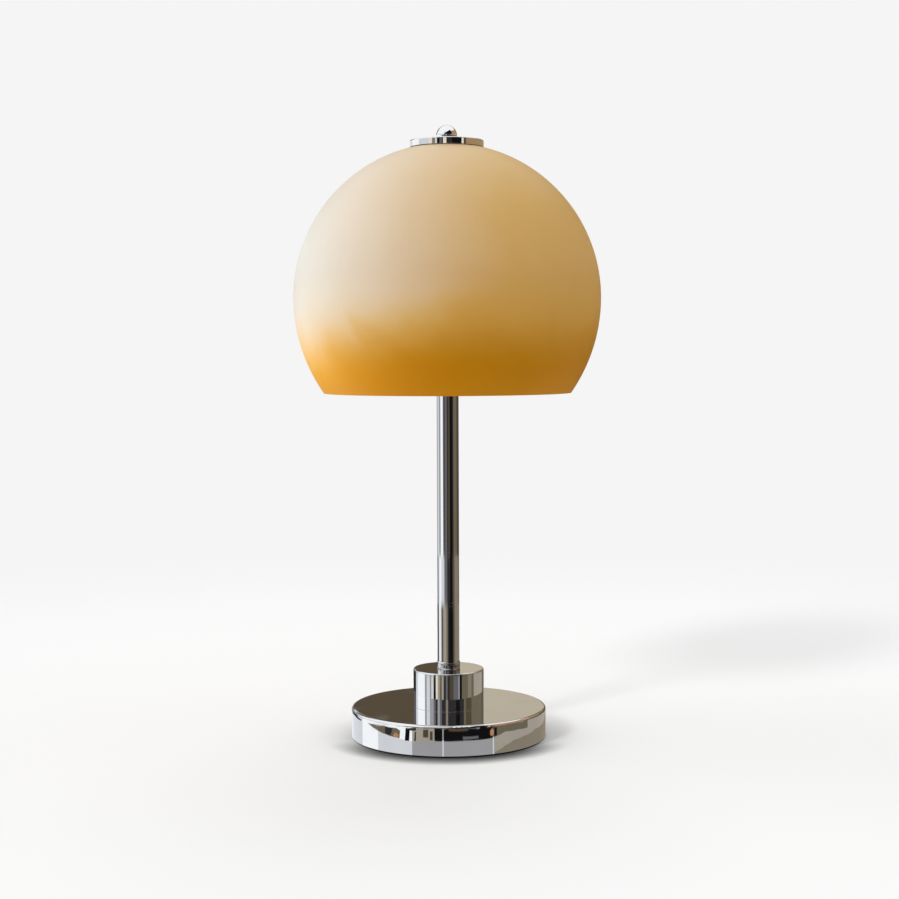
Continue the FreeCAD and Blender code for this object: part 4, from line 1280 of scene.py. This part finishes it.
@dataclass(frozen=True)
class Flag:
    """A card on the floor that only the base's side mirrors.

    Attributes:
        name: What it is.
        tint: How it looks in the chrome.
        layer: Which cards it lies over: those of lower layers.
        image: Its outline in the chrome: each corner's azimuth round the base, and its height
            on the base's side in millimetres.
    """

    name: str
    tint: Tint
    layer: int
    image: tuple[Point, ...]


@dataclass(frozen=True)
class Sun:
    """A distant lamp.

    Attributes:
        name: What it is.
        azimuth: Where it stands round the object.
        elevation: Its height in degrees.
        share: How much it adds to a white card that faces it.
        spread: Its width as seen from the object, in degrees.
    """

    name: str
    azimuth: float
    elevation: float
    share: float
    spread: float


@dataclass
class Studio:
    """The pale floor, the light, the cards that the chrome mirrors and the camera."""

    sky: float = 0.58
    screen_distance: float = 2.6
    column: float = 8.0
    tent_distance: float = 2.4
    ceiling: float = 4.4
    floor_side: float = 14.0
    floor_cells: int = 8
    # the contact_ values set the painted contact shade on the floor: its reach, its power at the
    # sides and in front, and its samples
    contact_reach: float = 0.027
    contact_side: float = 0.1
    contact_front: float = 4.5
    contact_samples: int = 8
    fade_start: float = 0.45
    fade_end: float = 1.3
    base_radius: float = 0.080
    table_radius: float = 0.139
    layer_gap: float = 0.0002
    lens: float = 68.54
    sensor: float = 36.0
    eye: tuple[float, float, float] = (0.0017, -1.4006, 0.3188)
    pitch: float = 3.36
    roll: float = 0.2
    suns: tuple[Sun, ...] = (
        Sun("window", -98, 26, 0.26, 60),
        Sun("soft_box", -39, 31, 0.27, 11),
        Sun("top_light", 170, 56, 0.15, 40),
        Sun("fill", 94, 20, 0.15, 80),
    )
    screens: tuple[Screen, ...] = (
        Screen("collar", -1.6, -0.435, -180, (
            (-134, Tint.INK), (-120, Tint.SILVER), (-84, Tint.WHITE), (-76, Tint.GREY),
            (-64, Tint.SILVER), (-58, Tint.GREY), (-50, Tint.SILVER), (-42, Tint.BLACK),
            (-36, Tint.CREAM), (-29, Tint.SAND), (-22, Tint.OLIVE), (-16, Tint.SAND),
            (-9, Tint.INK), (-3, Tint.SLATE), (4, Tint.INK), (16, Tint.UMBER), (32, Tint.SLATE),
            (36, Tint.GREY), (44, Tint.BLACK), (66, Tint.OLIVE), (80, Tint.TAUPE),
            (90, Tint.OLIVE), (140, Tint.SAND), (180, Tint.OLIVE),
        )),
        Screen("stem_foot", -0.435, -0.28, -180, (
            (-129, Tint.BLACK), (-113, Tint.GREY), (-92, Tint.WHITE), (-78, Tint.SILVER),
            (-66, Tint.UMBER), (-55, Tint.OLIVE), (-24, Tint.SAND), (-12, Tint.TAUPE),
            (-4, Tint.OLIVE), (8, Tint.INK), (50, Tint.BLACK), (62, Tint.UMBER), (74, Tint.OLIVE),
            (180, Tint.TAUPE),
        )),
        Screen("stem_low", -0.28, -0.165, -180, (
            (-150, Tint.GREY), (-125, Tint.SLATE), (-106, Tint.SILVER), (-76, Tint.WHITE),
            (-45, Tint.SILVER), (-36, Tint.GREY), (-10, Tint.SLATE), (20, Tint.INK),
            (46, Tint.BLACK), (60, Tint.UMBER), (72, Tint.OLIVE), (125, Tint.TAUPE),
            (180, Tint.OLIVE),
        )),
        Screen("stem", -0.165, 0.40, -180, (
            (-134, Tint.GREY), (-106, Tint.SILVER), (-83, Tint.GREY), (-53, Tint.WHITE),
            (-44, Tint.SLATE), (-31, Tint.UMBER), (-10, Tint.SLATE), (1, Tint.INK),
            (20, Tint.UMBER), (46, Tint.BLACK), (60, Tint.INK), (104, Tint.OLIVE),
            (180, Tint.UMBER),
        )),
        Screen("collar_foot", 0.40, 0.68, -134, (
            (-120, Tint.SILVER), (-84, Tint.WHITE), (-76, Tint.GREY), (-64, Tint.SILVER),
            (-50, Tint.GREY), (-43, Tint.SLATE), (-36, Tint.INK), (-29, Tint.GREY),
            (-22, Tint.SLATE), (-9, Tint.INK), (-2, Tint.TAUPE), (24, Tint.INK), (37, Tint.BLACK),
            (51, Tint.INK), (58, Tint.OLIVE), (80, Tint.UMBER), (134, Tint.OLIVE),
        ), 1.38),
        Screen("plate", 0.40, 0.68, 134, (
            (165, Tint.OLIVE), (180, Tint.BEIGE), (200, Tint.UMBER), (226, Tint.SLATE),
        )),
        Screen("cap", 0.68, 0.90, -180, (
            (-134, Tint.SILVER), (-96, Tint.WHITE), (-57, Tint.SILVER), (-46, Tint.CREAM),
            (-36, Tint.TAUPE), (-30, Tint.SILVER), (-22, Tint.BLACK), (-15, Tint.SLATE),
            (-11, Tint.INK), (-1, Tint.CREAM), (16, Tint.INK), (47, Tint.BLACK), (54, Tint.CREAM),
            (62, Tint.UMBER), (180, Tint.OCHRE),
        )),
        Screen("far_top", 0.90, 1.9, 141, ((180, Tint.OLIVE), (226, Tint.UMBER))),
    )
    tent: tuple[tuple[Tint, tuple[Point, ...]], ...] = (
        (Tint.WHITE, ((-134, 0.9), (-84, 0.9), (-84, 3.0), (-134, 3.0))),
        (Tint.WHITE, ((-84, 0.9), (-33, 0.9), (-33, 3.0), (-84, 3.0))),
        (Tint.BLACK, ((-32, 0.9), (15, 0.9), (15, 2.9))),
        (Tint.BLACK, ((15, 0.9), (62, 0.9), (62, 3.9), (15, 2.9))),
        (Tint.TAN, ((62, 0.9), (100, 0.9), (100, 2.6), (62, 2.6))),
        (Tint.TAN, ((100, 0.9), (140, 0.9), (140, 2.2), (100, 2.2))),
    )
    flags: tuple[Flag, ...] = (
        # painted shade: a dark card whose image in the chrome is the shade in the gap under the
        # base's foot
        Flag("contact", Tint.INK, 3, (
            *((turn, 0.0) for turn in range(-88, 89, 8)),
            *((turn, 0.8) for turn in range(88, -89, -8)),
        )),
        Flag("table_left", Tint.SILVER, 1, (
            (-90, 0), (-75, 0), (-60, 0), (-45, 0), (-33, 0), (-21, 0), (-21, 12.6),
            (-28, 13.4), (-36, 14.6), (-45, 17), (-54, 20.6), (-62, 24), (-75, 24), (-90, 24),
        )),
        Flag("table_bright", Tint.WHITE, 2, (
            (-60, 0), (-52, 0), (-44.5, 0), (-44.5, 17), (-52, 20), (-60, 23.5),
        )),
        Flag("table_right", Tint.TAUPE, 1, (
            (27, 0), (40, 0), (60, 0), (75, 0), (90, 0), (90, 24), (84, 23), (74, 19.5),
            (60, 17.6), (44, 17.8), (34, 18), (27, 15),
        )),
        Flag("table_sheen", Tint.SAND, 2, (
            (27, 3), (34, 7), (40, 10), (48, 11.4), (60, 14), (72, 15), (80, 20), (74, 19.5),
            (60, 17.6), (44, 17.8), (34, 18), (27, 15),
        )),
        Flag("seam_left", Tint.SILVER, 2, ((-3.5, 0), (-2.8, 0), (-2.8, 14.4), (-3.5, 14.4))),
        Flag("seam_right", Tint.SILVER, 2, ((25.7, 0), (26.4, 0), (26.4, 15), (25.7, 15))),
        Flag("room_left", Tint.WHITE, 1, (
            (-62, 24), (-54, 20.6), (-45, 17), (-36, 14.6), (-28, 13.4), (-21, 12.6),
            (-21, 24), (-34, 24), (-48, 24),
        )),
        Flag("room_grey", Tint.SAND, 1, ((-21, 12.6), (-8, 13.6), (-8, 24), (-21, 24))),
        Flag("room_dark", Tint.BLACK, 1, (
            (-8, 14.2), (9, 14.6), (26, 14.8), (26, 24), (9, 24), (-8, 24),
        )),
        Flag("room_olive", Tint.OLIVE, 1, (
            (26, 15), (34, 18), (44, 17.8), (52, 17.6), (52, 24), (38, 24), (26, 24),
        )),
        Flag("room_sand", Tint.SAND, 1, (
            (52, 17.6), (60, 17.6), (74, 19.5), (84, 23), (86, 24), (70, 24), (52, 24),
        )),
        Flag("sliver", Tint.INK, 2, (
            (-80, 22.5), (-72, 22), (-62, 20.6), (-61, 21.6), (-70, 24), (-79, 24),
        )),
        Flag("wedge", Tint.OLIVE, 2, (
            (-54, 20.8), (-50, 19), (-44, 16.6), (-38, 15), (-33, 14), (-29, 13.6),
            (-28.5, 20), (-31, 21.6), (-40, 21.8), (-48, 21.4),
        )),
        Flag("wedge_core", Tint.INK, 3, ((-39, 15.5), (-35, 15), (-33.5, 21), (-39, 21))),
        Flag("knob", Tint.TAN, 3, ((-33, 14), (-30, 13.6), (-29.5, 16), (-31.5, 18), (-33, 16))),
        Flag("post", Tint.BLACK, 2, ((-25.6, 12.4), (-22.8, 12.4), (-22.4, 22.5), (-25, 22.5))),
        Flag("beam", Tint.INK, 2, ((-22.6, 20.6), (-18.6, 21), (-18.6, 23.4), (-22.6, 22.8))),
        Flag("bar", Tint.INK, 2, ((-19.8, 12.8), (-18.8, 12.8), (-18.6, 20), (-19.4, 20))),
        Flag("box", Tint.UMBER, 2, ((-14.5, 16), (-11.5, 16), (-11.5, 22.5), (-14.5, 22))),
        Flag("slot", Tint.UMBER, 2, ((-10.6, 14), (-9, 14), (-9, 21), (-10.6, 21))),
        Flag("gap", Tint.GREY, 2, ((-3.5, 14.6), (-2.8, 14.6), (-2.8, 24), (-3.5, 24))),
        Flag("ledge", Tint.UMBER, 2, ((0, 21.5), (11, 21.5), (11, 24), (0, 24))),
        Flag("step", Tint.SLATE, 2, ((8, 14.8), (17, 15), (17, 17), (8, 17))),
        Flag("lamp_spot", Tint.TAN, 2, (
            (24, 17), (25, 15.6), (26.2, 17), (26.4, 20), (25.2, 22), (24, 20),
        )),
        Flag("frame", Tint.BLACK, 2, ((26.6, 15.2), (28.3, 15.8), (28.3, 22.5), (26.6, 22.5))),
    )

    def background(self) -> None:
        """A world that shows pale grey and lights the lamp softly."""
        world = bpy.data.worlds.new("studio")
        bpy.context.scene.world = world
        graph = Graph.blank(world)
        seen = self._seen(graph)
        pale = graph.add("ShaderNodeBackground", {"Color": (*linear(BACKGROUND), 1.0)})
        soft = graph.add("ShaderNodeBackground", {"Color": (1, 1, 1, 1), "Strength": self.sky})
        mix = graph.add("ShaderNodeMixShader", {
            0: seen, 1: soft.outputs[0], 2: pale.outputs[0],
        })
        end = graph.add("ShaderNodeOutputWorld", {"Surface": mix.outputs[0]})
        world.node_tree.nodes.active = end

    @staticmethod
    def _seen(graph: Graph) -> bpy.types.NodeSocket:
        """A mask of the rays that show the background: seen directly, mirrored or through glass.

        Args:
            graph: The graph to add it to.

        Returns:
            The mask's output.
        """
        path = graph.add("ShaderNodeLightPath")
        mirrored = graph.math("ADD", path.outputs["Is Camera Ray"], path.outputs["Is Glossy Ray"])
        return graph.math("ADD", mirrored, path.outputs["Is Transmission Ray"], clamp=True)

    def level(self) -> float:
        """How bright a white card lies on the floor, where 1 is white."""
        lamps = sum(s.share * math.sin(math.radians(s.elevation)) for s in self.suns)
        return self.sky + lamps

    def floor(self) -> None:
        """A pale floor that holds the lamp's shadow, with painted contact shade where the lamp
        stands on it, deepest in front of the base.
        """
        Bench.clear()
        bpy.ops.mesh.primitive_grid_add(
            x_subdivisions=self.floor_cells, y_subdivisions=self.floor_cells,
            size=self.floor_side, location=(0, 0, 0),
        )
        floor = bpy.context.active_object
        floor.name = "floor"
        material = bpy.data.materials.new("pale floor")
        graph = Graph.blank(material)
        place = graph.add("ShaderNodeTexCoord").outputs["Object"]
        reach = graph.add("ShaderNodeVectorMath", {0: place}, operation="LENGTH")
        far = graph.rescale(reach.outputs["Value"], self.fade_start, self.fade_end, 0.0, 1.0)
        share = graph.math("MULTIPLY", far, self._seen(graph))
        white = tuple(part / self.level() for part in linear(FLOOR_TONE))
        paper = graph.add("ShaderNodeBsdfDiffuse", {
            "Color": graph.mix(self._painted_contact_shade(graph, place), (0.0, 0.0, 0.0), white),
        })
        glow = graph.add("ShaderNodeEmission", {"Color": (*linear(BACKGROUND), 1.0)})
        mix = graph.add("ShaderNodeMixShader", {0: share, 1: paper.outputs[0], 2: glow.outputs[0]})
        graph.add("ShaderNodeOutputMaterial", {"Surface": mix.outputs[0]})
        floor.data.materials.append(material)
        floor.visible_glossy = False

    def _painted_contact_shade(self, graph: Graph, place: bpy.types.NodeSocket) -> bpy.types.NodeSocket:
        """A mask of painted contact shade: nearby occlusion raised to a power, highest in front of
        the base's foot.

        Args:
            graph: The floor's graph.
            place: Place on the floor.

        Returns:
            The mask's output.
        """
        open_sky = graph.add("ShaderNodeAmbientOcclusion", {"Distance": self.contact_reach},
                             samples=self.contact_samples)
        back = graph.add("ShaderNodeSeparateXYZ", {"Vector": place}).outputs["Y"]
        depth = graph.rescale(back, -self.base_radius, -self.base_radius / 4,
                              self.contact_front, self.contact_side)
        return graph.math("POWER", open_sky.outputs["AO"], depth)

    @staticmethod
    def glowing(tint: Tint, gain: float) -> bpy.types.Material:
        """A plain bright material whose image in the chrome has the tint.

        Args:
            tint: The look of its image.
            gain: How many times brighter it is than that.

        Returns:
            The material.
        """
        name = f"card_{tint.name.lower()}_{gain:g}"
        if name in bpy.data.materials:
            return bpy.data.materials[name]
        material = bpy.data.materials.new(name)
        graph = Graph.blank(material)
        shown = [gain * part / CHROME_SHINE for part in linear(tint.value)]
        strength = max(shown)
        colour = (*(part / strength for part in shown), 1.0)
        scattered = graph.add("ShaderNodeLightPath").outputs["Diffuse Depth"]
        power = graph.math("MULTIPLY", graph.math("LESS_THAN", scattered, 0.5), strength)
        glow = graph.add("ShaderNodeEmission", {"Color": colour, "Strength": power})
        graph.add("ShaderNodeOutputMaterial", {"Surface": glow.outputs[0]})
        return material

    def card(self, name: str, places: Sequence[Vector], tint: Tint, gain: float = 1.0,
             columns: int = 0) -> None:
        """Puts up a card that is seen in the metal and the glass alone, and lights nothing.

        Args:
            name: The card's name.
            places: Its corners in order, or for a curved one the points of its lower and then
                of its upper edge.
            tint: The look of its image.
            gain: How many times brighter it is than that.
            columns: How many flat parts a curved card has.
        """
        Bench.clear()
        if columns:
            bpy.ops.mesh.primitive_grid_add(x_subdivisions=columns, y_subdivisions=1)
        else:
            bpy.ops.mesh.primitive_circle_add(vertices=len(places), fill_type="NGON")
        card = bpy.context.active_object
        card.name = card.data.name = name
        for point, place in zip(card.data.vertices, places):
            point.co = place
        card.data.update()
        card.data.materials.append(self.glowing(tint, gain))
        for rays in ("camera", "diffuse", "transmission", "volume_scatter", "shadow"):
            setattr(card, f"visible_{rays}", False)

    def table(self) -> None:
        """The round of pale table that the base's side mirrors, with the flags on it."""
        level = -4 * self.layer_gap
        rim = [around(turn, self.table_radius, level) for turn in range(-180, 180, 4)]
        self.card("table_round", rim, Tint.GREY)
        for flag in self.flags:
            drop = Vector((0, 0, (flag.layer - 4) * self.layer_gap))
            corners = [self.mirrored(*corner) + drop for corner in flag.image]
            self.card(f"flag_{flag.name}", corners, flag.tint)

    def mirrored(self, azimuth: float, height: float) -> Vector:
        """The place on the floor whose image lies at a spot on the base's side.

        Args:
            azimuth: The spot's azimuth round the base.
            height: The spot's height in millimetres.

        Returns:
            The place on the floor.
        """
        spot = around(azimuth, self.base_radius, height * MM)
        out = around(azimuth, 1.0)
        ray = spot - Vector(self.eye)
        ray -= 2 * ray.dot(out) * out
        return spot + ray * (spot.z / -ray.z)

    def stand_screens(self) -> None:
        """Stands the rows of cards round the lamp, with a tent over them."""
        for screen in self.screens:
            start = screen.start
            for number, (end, tint) in enumerate(screen.cards):
                columns = math.ceil((end - start) / self.column)
                turns = [start + (end - start) * n / columns for n in range(columns + 1)]
                places = [around(turn, self.screen_distance, height)
                          for height in (screen.low, screen.high) for turn in turns]
                self.card(f"card_{screen.name}_{number}", places, tint, screen.gain, columns)
                start = end
        for number, (tint, outline) in enumerate(self.tent):
            corners = [around(turn, self.tent_distance, height) for turn, height in outline]
            self.card(f"tent_{number}", corners, tint)
        roof = [around(turn, 2 * self.screen_distance, self.ceiling)
                for turn in range(-180, 180, 30)]
        self.card("ceiling", roof, Tint.WHITE)

    def lights(self) -> None:
        """The soft lamps."""
        for sun in self.suns:
            data = bpy.data.lights.new(sun.name, "SUN")
            data.energy = sun.share * math.pi
            data.angle = math.radians(sun.spread)
            lamp = bpy.data.objects.new(sun.name, data)
            bpy.context.scene.collection.objects.link(lamp)
            reach = math.cos(math.radians(sun.elevation))
            way = around(sun.azimuth, reach, math.sin(math.radians(sun.elevation)))
            lamp.rotation_euler = way.to_track_quat("Z", "Y").to_euler()
            lamp.visible_glossy = False

    def camera(self) -> None:
        """The camera at the photograph's place."""
        data = bpy.data.cameras.new("camera")
        data.lens, data.sensor_width = self.lens, self.sensor
        camera = bpy.data.objects.new("camera", data)
        bpy.context.scene.collection.objects.link(camera)
        camera.location = self.eye
        tilt = math.radians(90 - self.pitch)
        camera.rotation_euler = (tilt, math.radians(self.roll), 0)
        bpy.context.scene.camera = camera

    def build(self) -> None:
        """Sets up the whole studio."""
        self.camera()
        self.background()
        self.floor()
        self.table()
        self.stand_screens()
        self.lights()
        bpy.context.scene.view_settings.view_transform = "Standard"
        LOG.info("Studio: floor, %d flags, %d lamps", len(self.flags), len(self.suns))


def main() -> None:
    """Builds the studio and every group of the lamp."""
    logging.basicConfig(level=logging.INFO, format="%(message)s")
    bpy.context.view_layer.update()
    Bench.clear()
    Studio().build()
    for group in (Base(), Stem(), Carrier(), Lampholder(), Bulb(), Shade(), Cap(), Finial()):
        group.build()
        group.dress()
        group.report()
    Bench.clear()


if __name__ == "__main__":
    main()
